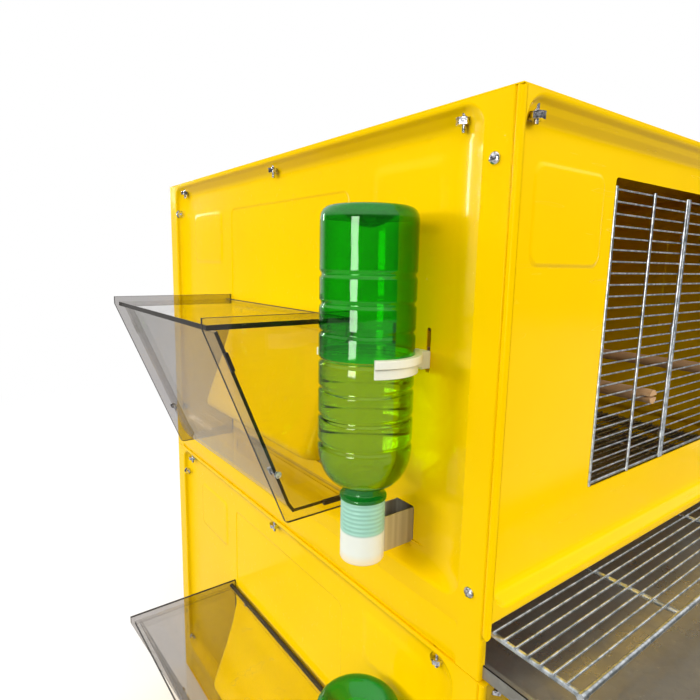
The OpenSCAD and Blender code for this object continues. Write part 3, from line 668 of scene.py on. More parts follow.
class Bench:
    """A mesh being made, in millimetres, with the operators that these pieces need."""

    def __init__(self) -> None:
        """Starts with nothing."""
        self.bm = bmesh.new()

    def block(self, low: Point, high: Point) -> list[bmesh.types.BMVert]:
        """Adds a box between two corners."""
        verts = bmesh.ops.create_cube(self.bm, size=1.0)["verts"]
        first, last = Vector(low), Vector(high)
        bmesh.ops.scale(self.bm, vec=last - first, verts=verts)
        bmesh.ops.translate(self.bm, vec=(first + last) / 2, verts=verts)
        return verts

    def rod(self, start: Point, end: Point, width: float, sides: int = 12) -> list[bmesh.types.BMVert]:
        """Adds a straight round bar.

        Args:
            start: One end of its axis.
            end: The other end.
            width: Its diameter.
            sides: Facets round it.

        Returns:
            Its corners.
        """
        first, last = Vector(start), Vector(end)
        turn = (last - first).to_track_quat("Z", "Y").to_matrix().to_4x4()
        return bmesh.ops.create_cone(
            self.bm, cap_ends=True, segments=sides, radius1=width / 2, radius2=width / 2,
            depth=(last - first).length, matrix=Matrix.Translation((first + last) / 2) @ turn,
        )["verts"]

    def loop(self, rect: Rect, depth: float, steps: int = 6) -> list[bmesh.types.BMEdge]:
        """Adds the bare edges of a rounded rectangle in the plane's own axes.

        Args:
            rect: The rectangle.
            depth: Its place along the plane's normal.
            steps: Edges round each corner.

        Returns:
            The edges.
        """
        corners = ((rect.left, rect.bottom), (rect.right, rect.bottom), (rect.right, rect.top), (rect.left, rect.top))
        verts = [self.bm.verts.new((*corner, depth)) for corner in corners]
        face = self.bm.faces.new(verts)
        before = set(self.bm.faces) - {face}
        bmesh.ops.bevel(
            self.bm, geom=verts, offset=rect.radius, offset_type="OFFSET", segments=steps, profile=0.5,
            affect="VERTICES", material=-1,
        )
        new = [each for each in self.bm.faces if each not in before]
        edges = list({edge for each in new for edge in each.edges})
        bmesh.ops.delete(self.bm, geom=new, context="FACES_ONLY")
        return edges

    def draw_through(
        self, rings: Sequence[tuple[Rect, float]], steps: int = 6
    ) -> tuple[list[bmesh.types.BMEdge], list[bmesh.types.BMEdge]]:
        """Extrudes a loop from ring to ring, each corner about its own centre.

        Args:
            rings: Each ring's rectangle and its depth.
            steps: Edges round each corner.

        Returns:
            The first loop and the last.
        """
        first = edges = self.loop(*rings[0], steps)
        for (old, _), (new, depth) in zip(rings, rings[1:]):
            grown = bmesh.ops.extrude_edge_only(self.bm, edges=edges)["geom"]
            verts = set(self.verts_in(grown))
            edges = [edge for edge in self.edges_in(grown) if verts.issuperset(edge.verts)]
            for vert in verts:
                was = old.centre(vert.co, old)
                vert.co = (new.centre(vert.co, old) + (vert.co.xy - was) * (new.radius / old.radius)).to_3d()
                vert.co.z = depth
        return first, edges

    def fill(self, *loops: list[bmesh.types.BMEdge]) -> None:
        """Fills a flat region inside a loop, or between an outer loop and the loops of its holes."""
        edges = [edge for loop in loops for edge in loop]
        if len(loops) == 1:
            bmesh.ops.edgeloop_fill(self.bm, edges=edges)
        else:
            bmesh.ops.triangle_fill(self.bm, use_beauty=True, use_dissolve=False, edges=edges, normal=(0.0, 0.0, 1.0))

    @staticmethod
    def verts_in(items: Iterable[Any]) -> list[bmesh.types.BMVert]:
        """The corners among an operator's results."""
        return [item for item in items if isinstance(item, bmesh.types.BMVert)]

    @staticmethod
    def edges_in(items: Iterable[Any]) -> list[bmesh.types.BMEdge]:
        """The edges among an operator's results."""
        return [item for item in items if isinstance(item, bmesh.types.BMEdge)]

    def everything(self) -> list[Any]:
        """Every corner, edge and face."""
        return self.bm.verts[:] + self.bm.edges[:] + self.bm.faces[:]

    def line(self, points: Iterable[Any]) -> list[bmesh.types.BMEdge]:
        """Adds an open line of edges through points."""
        verts = [self.bm.verts.new(point) for point in points]
        return [self.bm.edges.new(pair) for pair in zip(verts, verts[1:])]

    def face_out(self) -> None:
        """Turns every face outwards."""
        bmesh.ops.recalc_face_normals(self.bm, faces=self.bm.faces[:])

    def flip(self) -> None:
        """Turns every face round."""
        bmesh.ops.reverse_faces(self.bm, faces=self.bm.faces[:])

    def cut(self, geom: list[Any], place: Any, normal: Point, clear: bool = False) -> None:
        """Cuts along a plane.

        Args:
            geom: What is cut.
            place: A point of the plane.
            normal: The plane's normal.
            clear: Whether what lies beyond it goes.
        """
        bmesh.ops.bisect_plane(self.bm, geom=geom, dist=0.0005, plane_co=place, plane_no=normal, clear_outer=clear)

    def round_edges(
        self, edges: list[bmesh.types.BMEdge], width: float, steps: int, clamp: bool = False
    ) -> None:
        """Rounds edges.

        Args:
            edges: The edges.
            width: Width of the rounding.
            steps: Its facets.
            clamp: Whether it stays narrow enough not to overlap.
        """
        bmesh.ops.bevel(
            self.bm, geom=edges, offset=width, offset_type="OFFSET", segments=steps, profile=0.5, affect="EDGES",
            clamp_overlap=clamp, material=-1,
        )

    def face_up(self) -> None:
        """Turns every face the same way, outwards along the plane's normal."""
        self.face_out()
        if sum(face.normal.z * face.calc_area() for face in self.bm.faces) < 0:
            self.flip()

    def thicken(self, thickness: float) -> None:
        """Gives an open sheet its thickness, behind its outer face."""
        bmesh.ops.solidify(self.bm, geom=self.bm.faces[:], thickness=thickness)

    def spin(self, profile: Sequence[Flat], centre: Flat, steps: int, angle: float = 360.0, start: float = 0.0) -> None:
        """Turns a profile round an upright axis.

        Args:
            profile: Radius and height of each point.
            centre: Where the axis stands.
            steps: Facets round it.
            angle: How far it turns, in degrees.
            start: Direction of the profile before it turns, in degrees from X.
        """
        turn = Matrix.Translation((*centre, 0.0)) @ Matrix.Rotation(math.radians(start), 4, "Z")
        verts = [self.bm.verts.new(turn @ Vector((radius, 0.0, height))) for radius, height in profile]
        edges = [self.bm.edges.new(pair) for pair in zip(verts, verts[1:])]
        full = angle == 360.0
        bmesh.ops.spin(
            self.bm, geom=verts + edges, cent=(*centre, 0.0), axis=(0.0, 0.0, 1.0), dvec=(0.0, 0.0, 0.0),
            angle=math.radians(angle), steps=steps, use_merge=full, use_duplicate=False,
        )
        if full:
            bmesh.ops.remove_doubles(self.bm, verts=self.bm.verts[:], dist=0.002)
        self.face_out()

    def slab(self, outline: Sequence[Flat], near: float, far: float) -> list[bmesh.types.BMFace]:
        """Extrudes an outline in X and Z along Y.

        Args:
            outline: Its corners.
            near: Where the slab starts in Y.
            far: Where it ends.

        Returns:
            Its faces.
        """
        before = set(self.bm.faces)
        face = self.bm.faces.new([self.bm.verts.new((x, near, z)) for x, z in outline])
        grown = bmesh.ops.extrude_face_region(self.bm, geom=[face], use_keep_orig=True)["geom"]
        bmesh.ops.translate(self.bm, vec=(0.0, far - near, 0.0), verts=self.verts_in(grown))
        new = [each for each in self.bm.faces if each not in before]
        bmesh.ops.recalc_face_normals(self.bm, faces=new)
        return new

    def soften(self, width: float, steps: int = 2, angle: float = 35.0) -> None:
        """Rounds every edge that is sharper than an angle.

        Args:
            width: Width of the rounding.
            steps: Its facets.
            angle: The least angle that is rounded, in degrees.
        """
        limit = math.radians(angle)
        edges = [edge for edge in self.bm.edges if len(edge.link_faces) == 2 and edge.calc_face_angle() > limit]
        self.round_edges(edges, width, steps, clamp=True)

    def stain(self, rule: Callable[[bmesh.types.BMFace], int]) -> None:
        """Sets each face's finish by a rule."""
        self.bm.normal_update()
        for face in self.bm.faces:
            face.material_index = rule(face)

    def turn(self, matrix: Matrix) -> None:
        """Moves the whole mesh, and keeps its faces outwards when the matrix mirrors it."""
        bmesh.ops.transform(self.bm, matrix=matrix, verts=self.bm.verts[:])
        if matrix.determinant() < 0:
            self.flip()

    def take(self, other: "Bench") -> None:
        """Adds another bench's mesh to this one."""
        mesh = bpy.data.meshes.new("taken")
        other.bm.to_mesh(mesh)
        self.bm.from_mesh(mesh)
        bpy.data.meshes.remove(mesh)


@dataclass
class Shop:
    """Places finished pieces in the scene and dresses the nodes that stay."""

    frame: dict[str, Any]

    def place(
        self, bench: Bench, label: str, tier: Tier, slot: str, finishes: Sequence[Finish],
        replaces: Sequence[str] = (), mover: Mover = Mover.CAGE, sharp: float = 32.0,
    ) -> bpy.types.Object:
        """Makes a scene object from a bench.

        Args:
            bench: The mesh, in millimetres of its tier.
            label: The piece's name without its tier.
            tier: The tier that it belongs to.
            slot: The record's material slot. Not used.
            finishes: The finishes, in the order of the faces' numbers.
            replaces: The nodes that it stands for, without their tier.
            mover: What it rides on.
            sharp: Edges sharper than this many degrees stay crisp.

        Returns:
            The object.
        """
        name = f"{tier.label}_{label}"
        mesh = bpy.data.meshes.new(name)
        bench.bm.to_mesh(mesh)
        mesh.transform(Matrix.Translation((0.0, 0.0, tier.floor * MM)) @ Matrix.Scale(MM, 4))
        mesh.shade_smooth()
        mesh.set_sharp_from_angle(angle=math.radians(sharp))
        for finish in finishes:
            mesh.materials.append(finish.material())
        piece = bpy.data.objects.new(name, mesh)
        bpy.context.scene.collection.objects.link(piece)
        flat = piece.modifiers.new("flat_faces_stay_flat", "WEIGHTED_NORMAL")
        flat.keep_sharp = True
        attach(piece, mover.body(tier))
        if replaces:
            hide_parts(*(f"{tier.label}_{node}" for node in replaces))
        log.info("%s: %d faces", name, len(mesh.polygons))
        return piece

    def dress(self, node: str, finish: Finish) -> None:
        """Gives a node that stays its finish."""
        mesh = self.frame["nodes"][node].data
        mesh.materials.clear()
        mesh.materials.append(finish.material())
        log.info("%s: dressed", node)


# ---- Pressed panels ----


@dataclass(frozen=True)
class Lip:
    """Profile of one side of a pocket: how far it lies outside the pocket's mouth at each depth."""

    knots: tuple[Flat, ...]

    def offset(self, depth: float) -> float:
        """How far the side lies outside the mouth at a depth.

        Args:
            depth: The depth.

        Returns:
            The distance, negative inside the mouth.
        """
        for (high, first), (low, last) in zip(self.knots, self.knots[1:]):
            if depth <= low:
                return first + (last - first) * (depth - high) / (low - high)
        return self.knots[-1][1]


ROUND_LIP = Lip((
    (0.0, 2.5), (0.5, 1.4), (1.5, 0.6), (3.0, 0.0), (3.4, -0.1), (5.0, -1.2), (7.0, -4.5), (8.5, -9.0), (9.4, -14.5),
    (9.87, -20.0), (10.0, -24.0),
))
TIGHT_LIP = Lip((
    (0.0, 0.6), (0.8, 0.1), (3.0, 0.0), (5.0, -0.5), (7.0, -1.8), (8.5, -3.6), (9.4, -5.6), (9.87, -7.4), (10.0, -9.0),
))
DISH_LIP = Lip((
    (0.0, 0.0), (1.56, -2.8), (3.0, -5.6), (5.0, -9.8), (6.73, -14.0), (8.16, -18.2), (9.25, -22.4), (9.76, -25.2),
    (10.0, -28.0),
))
TOP_LIP = Lip((
    (0.0, 8.4), (0.15, 7.5), (0.4, 6.9), (0.8, 6.35), (1.3, 5.85), (3.0, 4.5), (4.0, 3.6), (5.0, 2.3), (7.8, -0.9),
    (8.5, -2.0), (9.0, -3.0), (9.4, -4.0), (9.7, -5.1), (9.87, -6.1), (9.96, -7.2), (10.0, -8.4),
))
FRONT_TOP_LIP = Lip((
    (0.0, 10.4), (0.15, 9.5), (0.4, 8.8), (0.8, 8.1), (1.3, 7.5), (3.0, 5.9), (4.0, 4.8), (5.0, 2.4), (7.8, -1.3),
    (8.5, -2.3), (9.0, -3.2), (9.4, -4.2), (9.7, -5.4), (9.87, -6.6), (9.96, -8.0), (10.0, -9.8),
))
FRONT_LOW_LIP = Lip((
    (0.0, 7.6), (0.4, 6.3), (1.3, 5.3), (3.0, 4.3), (5.0, 3.3), (7.0, 2.2), (8.5, 0.8), (9.4, -1.4), (9.87, -4.5),
    (10.0, -9.0),
))
LOW_LIP = Lip((
    (0.0, 1.5), (0.4, -0.2), (1.3, -1.4), (3.0, -2.8), (5.0, -4.4), (7.0, -6.2), (8.5, -8.2), (9.4, -10.6),
    (9.87, -13.2), (10.0, -16.5),
))


@dataclass
class Pressing:
    """The pocket pressed into a panel, from the flat rim down to the flat field."""

    mouth: Rect
    left: Lip
    right: Lip
    bottom: Lip
    top: Lip
    foot_radius: float = 12.0
    depths: tuple[float, ...] = (
        0.0, 0.15, 0.4, 0.8, 1.3, 2.0, 3.0, 4.0, 5.0, 6.0, 7.0, 7.8, 8.5, 9.0, 9.4, 9.7, 9.87, 9.96, 10.0
    )

    def rings(self) -> list[tuple[Rect, float]]:
        """The rings from the flat rim down to the flat field.

        Returns:
            Each ring's rectangle and its depth.
        """
        rings: list[tuple[Rect, float]] = []
        full = self.depths[-1]
        for depth in self.depths:
            sides = Sides(*(lip.offset(depth) for lip in (self.left, self.right, self.bottom, self.top)))
            widest = max(sides.left, sides.right, sides.bottom, sides.top, 0.0)
            radius = self.mouth.radius + widest + (self.foot_radius - self.mouth.radius) * depth / full
            rings.append((self.mouth.grown(sides, radius), -depth))
        rim, floor = rings[0][0], rings[-1][0]
        rings.insert(0, (rim.grown(0.4, rim.radius + 0.4), 0.0))
        rings.append((floor.grown(-0.4, self.foot_radius), -full))
        return rings


@dataclass
class Boss:
    """A shallow step in a field: a raised plate, or a sunk one with a negative rise."""

    outline: Rect
    rise: float
    slope: float
    holes: list[Rect] = field(default_factory=list)

    def cut(self, bench: Bench, level: float) -> list[bmesh.types.BMEdge]:
        """Makes the step and its flat inside.

        Args:
            bench: The panel.
            level: Depth of the field.

        Returns:
            The outer loop, which is a hole of the field.
        """
        rings = [(self.outline.grown(0.4, self.outline.radius + 0.4), level)]
        steps = 6
        for step in range(steps + 1):
            share = step / steps
            radius = max(self.outline.radius - self.slope * share * 0.5, 1.0)
            rise = self.rise * (3 - 2 * share) * share * share
            rings.append((self.outline.grown(-self.slope * share, radius), level + rise))
        inner = self.outline.grown(-self.slope - 0.4, max(self.outline.radius - self.slope * 0.5, 1.0))
        rings.append((inner, level + self.rise))
        outer, last = bench.draw_through(rings)
        bench.fill(last, *(bench.loop(hole, level + self.rise, 4) for hole in self.holes))
        return outer


@dataclass
class Panel:
    """A pressed panel in its own plane: u to the right, v up, w out of the sheet."""

    outer: Rect
    pressing: Pressing
    bosses: list[Boss]
    holes: list[Rect]
    sheet: float = 1.0

    def press(self) -> Bench:
        """Makes the open outer face of the panel.

        Returns:
            The bench, still without thickness.
        """
        bench = Bench()
        mouth, floor = bench.draw_through(self.pressing.rings())
        bench.fill(bench.loop(self.outer, 0.0, 2), mouth)
        level = -self.pressing.depths[-1]
        inner = [boss.cut(bench, level) for boss in self.bosses]
        inner += [bench.loop(hole, level, 4) for hole in self.holes]
        bench.fill(floor, *inner)
        bench.face_up()
        return bench

    @staticmethod
    def fold(bench: Bench, place: float, radius: float, reach: float, axis: int, angle: float) -> None:
        """Folds the sheet's edge back round a small radius.

        Args:
            bench: The panel.
            place: Where the edge lies along the axis.
            radius: Radius of the fold.
            reach: How far the flange goes on behind it.
            axis: 0 for an upright edge, 1 for a level one.
            angle: Turn of the fold, in degrees.
        """
        edges = [
            edge for edge in bench.bm.edges
            if edge.is_boundary and all(abs(vert.co[axis] - place) < 0.02 and vert.co.z > -0.5 for vert in edge.verts)
        ]
        centre = Vector((place, 0.0, -radius)) if axis == 0 else Vector((0.0, place, -radius))
        spindle = (0.0, 1.0, 0.0) if axis == 0 else (1.0, 0.0, 0.0)
        last = bmesh.ops.spin(
            bench.bm, geom=edges, cent=centre, axis=spindle, dvec=(0.0, 0.0, 0.0), angle=math.radians(angle),
            steps=4, use_merge=False, use_duplicate=False,
        )["geom_last"]
        flange = bmesh.ops.extrude_edge_only(bench.bm, edges=Bench.edges_in(last))["geom"]
        bmesh.ops.translate(bench.bm, vec=(0.0, 0.0, -reach), verts=Bench.verts_in(flange))


END_PLANE = Matrix(((0, 0, -1, -300), (-1, 0, 0, 0), (0, 1, 0, 0), (0, 0, 0, 1)))
FRONT_PLANE = Matrix(((1, 0, 0, 0), (0, 0, -1, -290), (0, 1, 0, 0), (0, 0, 0, 1)))
BACK_PLANE = Matrix(((-1, 0, 0, 0), (0, 0, 1, 289), (0, 1, 0, 0), (0, 0, 0, 1)))
MIRROR_X = Matrix.Scale(-1.0, 4, (1.0, 0.0, 0.0))


@dataclass
class EndPanels:
    """The two end panels, with their rolled lower band; the left one has the hopper's and the drinker's openings."""

    front: float = -285.5
    back: float = 290.0
    field_front: float = -264.0
    field_back: float = 266.0
    band_top: float = 47.0
    ledge: float = 359.0
    top: float = 369.0
    edge_radius: float = 2.2
    plate_rise: float = 0.9
    middle: Rect = Rect(-111.5, 63.0, 119.0, 330.0, 8.0)
    near_plate: Rect = Rect(149.0, 291.0, 230.0, 344.0, 9.0)
    far_plate: Rect = Rect(-224.0, 266.0, -135.0, 330.0, 9.0)
    feed: Rect = Rect(-109.0, 83.0, 116.6, 190.0, 7.0)
    drinker: Rect = Rect(187.5, 58.1, 208.5, 90.5, 2.0)
    tail_slots: tuple[Rect, ...] = (Rect(177.6, 195.0, 181.6, 227.0, 1.5), Rect(214.4, 195.0, 218.4, 227.0, 1.5))
    hook_slots: tuple[Flat, ...] = ((-126.5, 82.7), (-126.5, 187.2), (115.5, 82.7), (115.5, 187.2))
    hook_slot: Flat = (1.8, 18.3)
    band: tuple[Flat, ...] = (
        (40.5, 0.0), (36.0, -0.15), (32.6, -0.35), (31.4, -0.60), (30.6, -0.62), (29.4, -0.45), (25.5, -0.2),
        (20.0, -0.05), (14.0, 0.0), (8.0, -0.2), (4.0, -0.8), (1.8, -1.7),
    )

    def panel(self, openings: bool) -> Panel:
        """Lays out the panel in its plane, where u is -Y.

        Args:
            openings: Whether it has the hopper's and the drinker's openings.

        Returns:
            The panel.
        """
        mouth = Rect(-self.field_back, self.band_top, -self.field_front, self.ledge, 8.0)
        pressing = Pressing(mouth, ROUND_LIP, DISH_LIP, LOW_LIP, TOP_LIP, 14.0)
        bosses = [
            Boss(self.middle, -0.8, 2.4), Boss(self.near_plate, self.plate_rise, 9.0),
            Boss(self.far_plate, self.plate_rise, 5.0),
        ]
        holes: list[Rect] = []
        if openings:
            bosses[0].holes.append(self.feed)
            half, rise = self.hook_slot
            holes += [self.drinker, *self.tail_slots]
            holes += [Rect(-y - half, low, -y + half, low + rise, 0.6) for y, low in self.hook_slots]
        outer = Rect(-self.back + 1.0, 0.6, -self.front - self.edge_radius, self.top, 0.05)
        return Panel(outer, pressing, bosses, holes)

    def roll_band(self, bench: Bench) -> None:
        """Rolls the lower band's relief into the rim under the pocket."""
        left, right = -self.field_back + 1.0, -self.field_front - 0.2

        def low_faces() -> list[Any]:
            """Everything of the rim at the band's height."""
            faces = [face for face in bench.bm.faces if face.calc_center_median().y < self.band_top - 4]
            return list({item for face in faces for item in (face, *face.edges, *face.verts)})

        for height, _ in self.band:
            bench.cut(low_faces(), (0.0, height, 0.0), (0.0, 1.0, 0.0))
        for place in (left - 1.2, left, right, right + 1.0):
            bench.cut(low_faces(), (place, 0.0, 0.0), (1.0, 0.0, 0.0))
        for vert in bench.bm.verts:
            if left - 0.1 < vert.co.x < right + 0.1 and vert.co.y < self.band_top - 6.4 and vert.co.z > -0.5:
                vert.co.z += self.relief(vert.co.y)

    def relief(self, height: float) -> float:
        """Depth of the band's relief at a height.

        Args:
            height: Height above the tier's floor.

        Returns:
            How far the sheet lies behind the rim's plane.
        """
        for (upper, high), (lower, low) in zip(self.band, self.band[1:]):
            if lower <= height <= upper:
                return low + (high - low) * (height - lower) / (upper - lower)
        return self.band[-1][1] if height < self.band[-1][0] else 0.0

    def make(self, openings: bool) -> Bench:
        """Makes one panel with its thickness, as the left one."""
        panel = self.panel(openings)
        bench = panel.press()
        self.roll_band(bench)
        Panel.fold(bench, panel.outer.right, self.edge_radius, 3.0, 0, 90.0)
        Panel.fold(bench, panel.outer.left, 1.0, 10.0, 0, -90.0)
        bench.thicken(panel.sheet)
        bench.turn(END_PLANE)
        return bench

    def build(self, shop: Shop) -> None:
        """Places both panels in both tiers."""
        left, right = self.make(True), self.make(False)
        right.turn(MIRROR_X)
        for tier in Tier:
            shop.place(left, "end_sheet_left", tier, "yellow_paint", [YellowPaint()], ["end_panel_left"])
            shop.place(right, "end_sheet_right", tier, "yellow_paint", [YellowPaint()], ["end_panel_right"])


@dataclass
class FrontPanels:
    """The front panel: a field with the window and two plates, rolled sill and rounded corner beads."""

    half: float = 300.0
    field_half: float = 295.5
    bead_radius: float = 3.3
    bead_foot: float = 32.0
    slot_top: float = 42.0
    ledge: float = 357.5
    top: float = 369.0
    window: Rect = Rect(-176.0, 103.0, 176.0, 334.0, 3.0)

    def panel(self) -> Panel:
        """Lays out the panel in its plane."""
        mouth = Rect(-self.field_half, 57.0, self.field_half, self.ledge, 8.0)
        pressing = Pressing(mouth, TIGHT_LIP, TIGHT_LIP, FRONT_LOW_LIP, FRONT_TOP_LIP)
        plates = [Boss(Rect(side * 231.0 - 41.0, 270.0, side * 231.0 + 41.0, 334.0, 9.0), 0.9, 3.0) for side in (-1, 1)]
        outer = Rect(-self.half + self.bead_radius, self.slot_top + 3.0, self.half - self.bead_radius, self.top, 0.05)
        return Panel(outer, pressing, plates, [self.window])

    def bead(self) -> Bench:
        """Makes the left corner bead, which hangs below the sill."""
        bench = Bench()
        arc = [math.radians(a) for a in range(270, 179, -15)]
        axis = (-self.half + self.bead_radius, -290.0 + self.bead_radius)
        path = [(-295.6, -288.3), (-295.9, -289.6), (axis[0] + 0.3, -290.0)]
        path += [(axis[0] + self.bead_radius * math.cos(a), axis[1] + self.bead_radius * math.sin(a)) for a in arc]
        path += [(-299.6, -285.7), (-298.6, -285.2), (-297.4, -285.2)]
        edges = bench.line((x, y, self.bead_foot) for x, y in path)
        grown = bmesh.ops.extrude_edge_only(bench.bm, edges=edges)["geom"]
        bmesh.ops.translate(bench.bm, vec=(0.0, 0.0, self.top - self.bead_foot), verts=Bench.verts_in(grown))
        bench.face_out()
        if sum(face.normal.x + face.normal.y for face in bench.bm.faces) > 0:
            bench.flip()
        bench.cut(bench.everything(), (-299.0, -290.0, self.bead_foot), (1.0, 0.0, -1.2), clear=True)
        bench.cut(bench.everything(), (-300.0, -289.0, self.bead_foot), (0.0, 1.0, -1.2), clear=True)
        bench.thicken(1.0)
        return bench

    def build(self, shop: Shop) -> None:
        """Places the panel in both tiers."""
        panel = self.panel()
        bench = panel.press()
        Panel.fold(bench, panel.outer.bottom, 3.0, 3.0, 1, 90.0)
        bench.thicken(panel.sheet)
        bench.turn(FRONT_PLANE)
        left, right = self.bead(), self.bead()
        right.turn(MIRROR_X)
        bench.take(left)
        bench.take(right)
        for tier in Tier:
            shop.place(bench, "front_sheet", tier, "yellow_paint", [YellowPaint()], ["front_panel"])


@dataclass
class BackPanels:
    """The plain pressed back panel, with a hole for each perch's pin."""

    half: float = 298.0

    def build(self, shop: Shop) -> None:
        """Places the panel in both tiers."""
        mouth = Rect(-284.0, 60.0, 284.0, 360.0, 8.0)
        pressing = Pressing(mouth, ROUND_LIP, ROUND_LIP, LOW_LIP, TOP_LIP, 14.0)
        centre = Boss(Rect(-190.0, 92.0, 190.0, 328.0, 8.0), -0.8, 3.0)
        centre.holes += [Rect(side * 92.0 - 1.9, 163.0, side * 92.0 + 1.9, 166.8, 1.85) for side in (-1, 1)]
        bench = Panel(Rect(-self.half, 1.2, self.half, 367.5, 0.05), pressing, [centre], []).press()
        bench.thicken(1.0)
        bench.turn(BACK_PLANE)
        for tier in Tier:
            shop.place(bench, "back_sheet", tier, "yellow_paint", [YellowPaint()], ["back_panel"])


@dataclass
class Roofs:
    """The flat sheet over each tier and the one under the stack, painted all round."""

    half: Flat = (300.0, 290.0)
    sheet: float = 1.0

    def make(self, low: float) -> Bench:
        """Makes a sheet whose underside is at a height."""
        bench = Bench()
        bench.block((-self.half[0], -self.half[1], low), (self.half[0], self.half[1], low + self.sheet))
        bench.soften(0.25, 2)
        return bench

    def build(self, shop: Shop) -> None:
        """Places the sheets."""
        for tier in Tier:
            shop.place(self.make(369.0), "roof_sheet", tier, "yellow_paint", [YellowPaint()], ["roof_panel"])
        shop.dress("base_panel", YellowPaint())


# ---- Hopper ----


@dataclass
class Hopper:
    """The seed hopper: two smoked plates, the bent front sheet, the lid on its pin and the painted baffle."""

    near: float = -128.0
    far: float = 117.0
    plate: float = 3.0
    sheet: float = 2.8
    wall: float = -290.0
    outline: tuple[Flat, ...] = (
        (-290.0, 231.5), (-420.5, 231.5), (-420.5, 224.0), (-355.51, 64.7), (-354.6, 62.6), (-352.6, 61.2),
        (-350.0, 61.0), (-290.0, 61.0),
    )
    tabs: tuple[float, ...] = (198.5,)
    floor_tab: tuple[Flat, Flat] = ((-317.0, 67.0), (-298.0, 71.0))
    hook_heights: Flat = (87.0, 191.5)
    hook_rise: float = 14.0
    hook_drop: float = 4.0
    hook_reach: tuple[float, float, float] = (-290.4, -288.7, -284.0)
    lean_foot: Flat = (-354.0, 61.0)
    lean_run: Flat = (66.5, 163.0)
    lean_inset: float = 9.72
    sheet_top: float = 220.94
    bend: float = 96.0
    sheet_foot: tuple[Flat, ...] = ((8.0, 76.0), (13.0, 69.0))
    sheet_end: Flat = (-290.3, 69.0)
    lid_box: tuple[Flat, Flat] = ((-416.5, 222.0), (-294.5, 226.0))
    lid_gap: float = 3.3
    pin_width: float = 5.0
    screw_places: Flat = (-94.0, 83.0)
    baffle_span: Flat = (-122.0, 108.0)
    baffle_round: float = 16.0
    pin: Flat = (-294.5, 224.0)

    def lean(self, height: float) -> float:
        """X of the front sheet's middle at a height."""
        (foot, low), (run, rise) = self.lean_foot, self.lean_run
        return foot - run * (height - low) / rise + self.lean_inset

    def path(self) -> list[Flat]:
        """Middle line of the front sheet, from the lid down and in to the end panel."""
        low = self.lean(self.bend)
        foot = [(low + step, height) for step, height in self.sheet_foot]
        return [(self.lean(self.sheet_top), self.sheet_top), (low, self.bend), *foot, self.sheet_end]

    def side(self, distance: float, path: Sequence[Flat]) -> list[Flat]:
        """A line beside a path, with mitred bends.

        Args:
            distance: How far to the left of it.
            path: The path.

        Returns:
            The line.
        """
        line: list[Flat] = []
        for index, (x, z) in enumerate(path):
            sides = []
            last = len(path) - 1
            for first, second in ((max(index - 1, 0), max(index, 1)), (min(index, last - 1), min(index + 1, last))):
                run = Vector((path[second][0] - path[first][0], path[second][1] - path[first][1])).normalized()
                sides.append(Vector((-run.y, run.x)))
            step = (sides[0] + sides[1]) * distance / (1 + sides[0].dot(sides[1]))
            line.append((x + step.x, z + step.y))
        return line

    def strip(self, path: Sequence[Flat], thickness: float) -> list[Flat]:
        """Outline of a strip along a path."""
        return self.side(thickness / 2, path) + self.side(-thickness / 2, path)[::-1]

    @staticmethod
    def edges_dark(axis: int) -> Callable[[bmesh.types.BMFace], int]:
        """Rule that leaves the broad faces across an axis and the far edges clear, and darkens the other edges."""
        return lambda face: 0 if abs(face.normal[axis]) > 0.98 or face.normal.y > 0.7 else 1

    def plates(self, shop: Shop, tier: Tier) -> None:
        """Places the two side plates with their hooks."""
        for label, start in (("near", self.near), ("far", self.far - self.plate)):
            bench = Bench()
            bench.slab(self.outline, start, start + self.plate)
            bench.soften(0.25, 2, 50.0)
            bench.stain(self.edges_dark(1))
            hooks = Bench()
            near, far = start + 0.02, start + self.plate - 0.02
            root, neck, tip = self.hook_reach
            for low in self.hook_heights:
                hooks.block((root, near, low), (tip, far, low + self.hook_rise))
                hooks.block((neck, near, low - self.hook_drop), (tip, far, low + 0.02))
            hooks.stain(lambda face: 1)
            bench.take(hooks)
            finishes = [NEAR_ACRYLIC if label == "near" else FAR_ACRYLIC, AcrylicEdge()]
            shop.place(bench, f"hopper_{label}_pane", tier, "smoked_acrylic", finishes, [f"hopper_{label}_plate"])

    def front(self, shop: Shop, tier: Tier) -> None:
        """Places the bent front sheet with its tabs."""
        bench = Bench()
        start, end = self.near + self.plate + 0.05, self.far - self.plate - 0.05
        bench.slab(self.strip(self.path(), self.sheet), start, end)
        bench.soften(0.3, 2, 60.0)
        bench.stain(lambda face: 1 if face.normal.y < -0.5 or (face.normal.y < 0.5 and face.calc_area() < 120.0) else 0)
        tabs = Bench()
        for height in self.tabs:
            line = [(self.lean(height + 7.0), height + 7.0), (self.lean(height - 7.0), height - 7.0)]
            tabs.slab(self.strip(line, self.sheet), self.near - 0.1, start)
            tabs.slab(self.strip(line, self.sheet), end, self.far + 0.1)
        (x0, low), (x1, high) = self.floor_tab
        for y0, y1 in ((self.near - 0.1, start), (end, self.far + 0.1)):
            tabs.block((x0, y0, low), (x1, y1, high))
        tabs.stain(lambda face: 0 if face.calc_center_median().y > 0 else 1)
        bench.take(tabs)
        finishes = [SmokedAcrylic(), AcrylicEdge()]
        shop.place(bench, "hopper_front_pane", tier, "smoked_acrylic", finishes, ["hopper_front_sheet"])

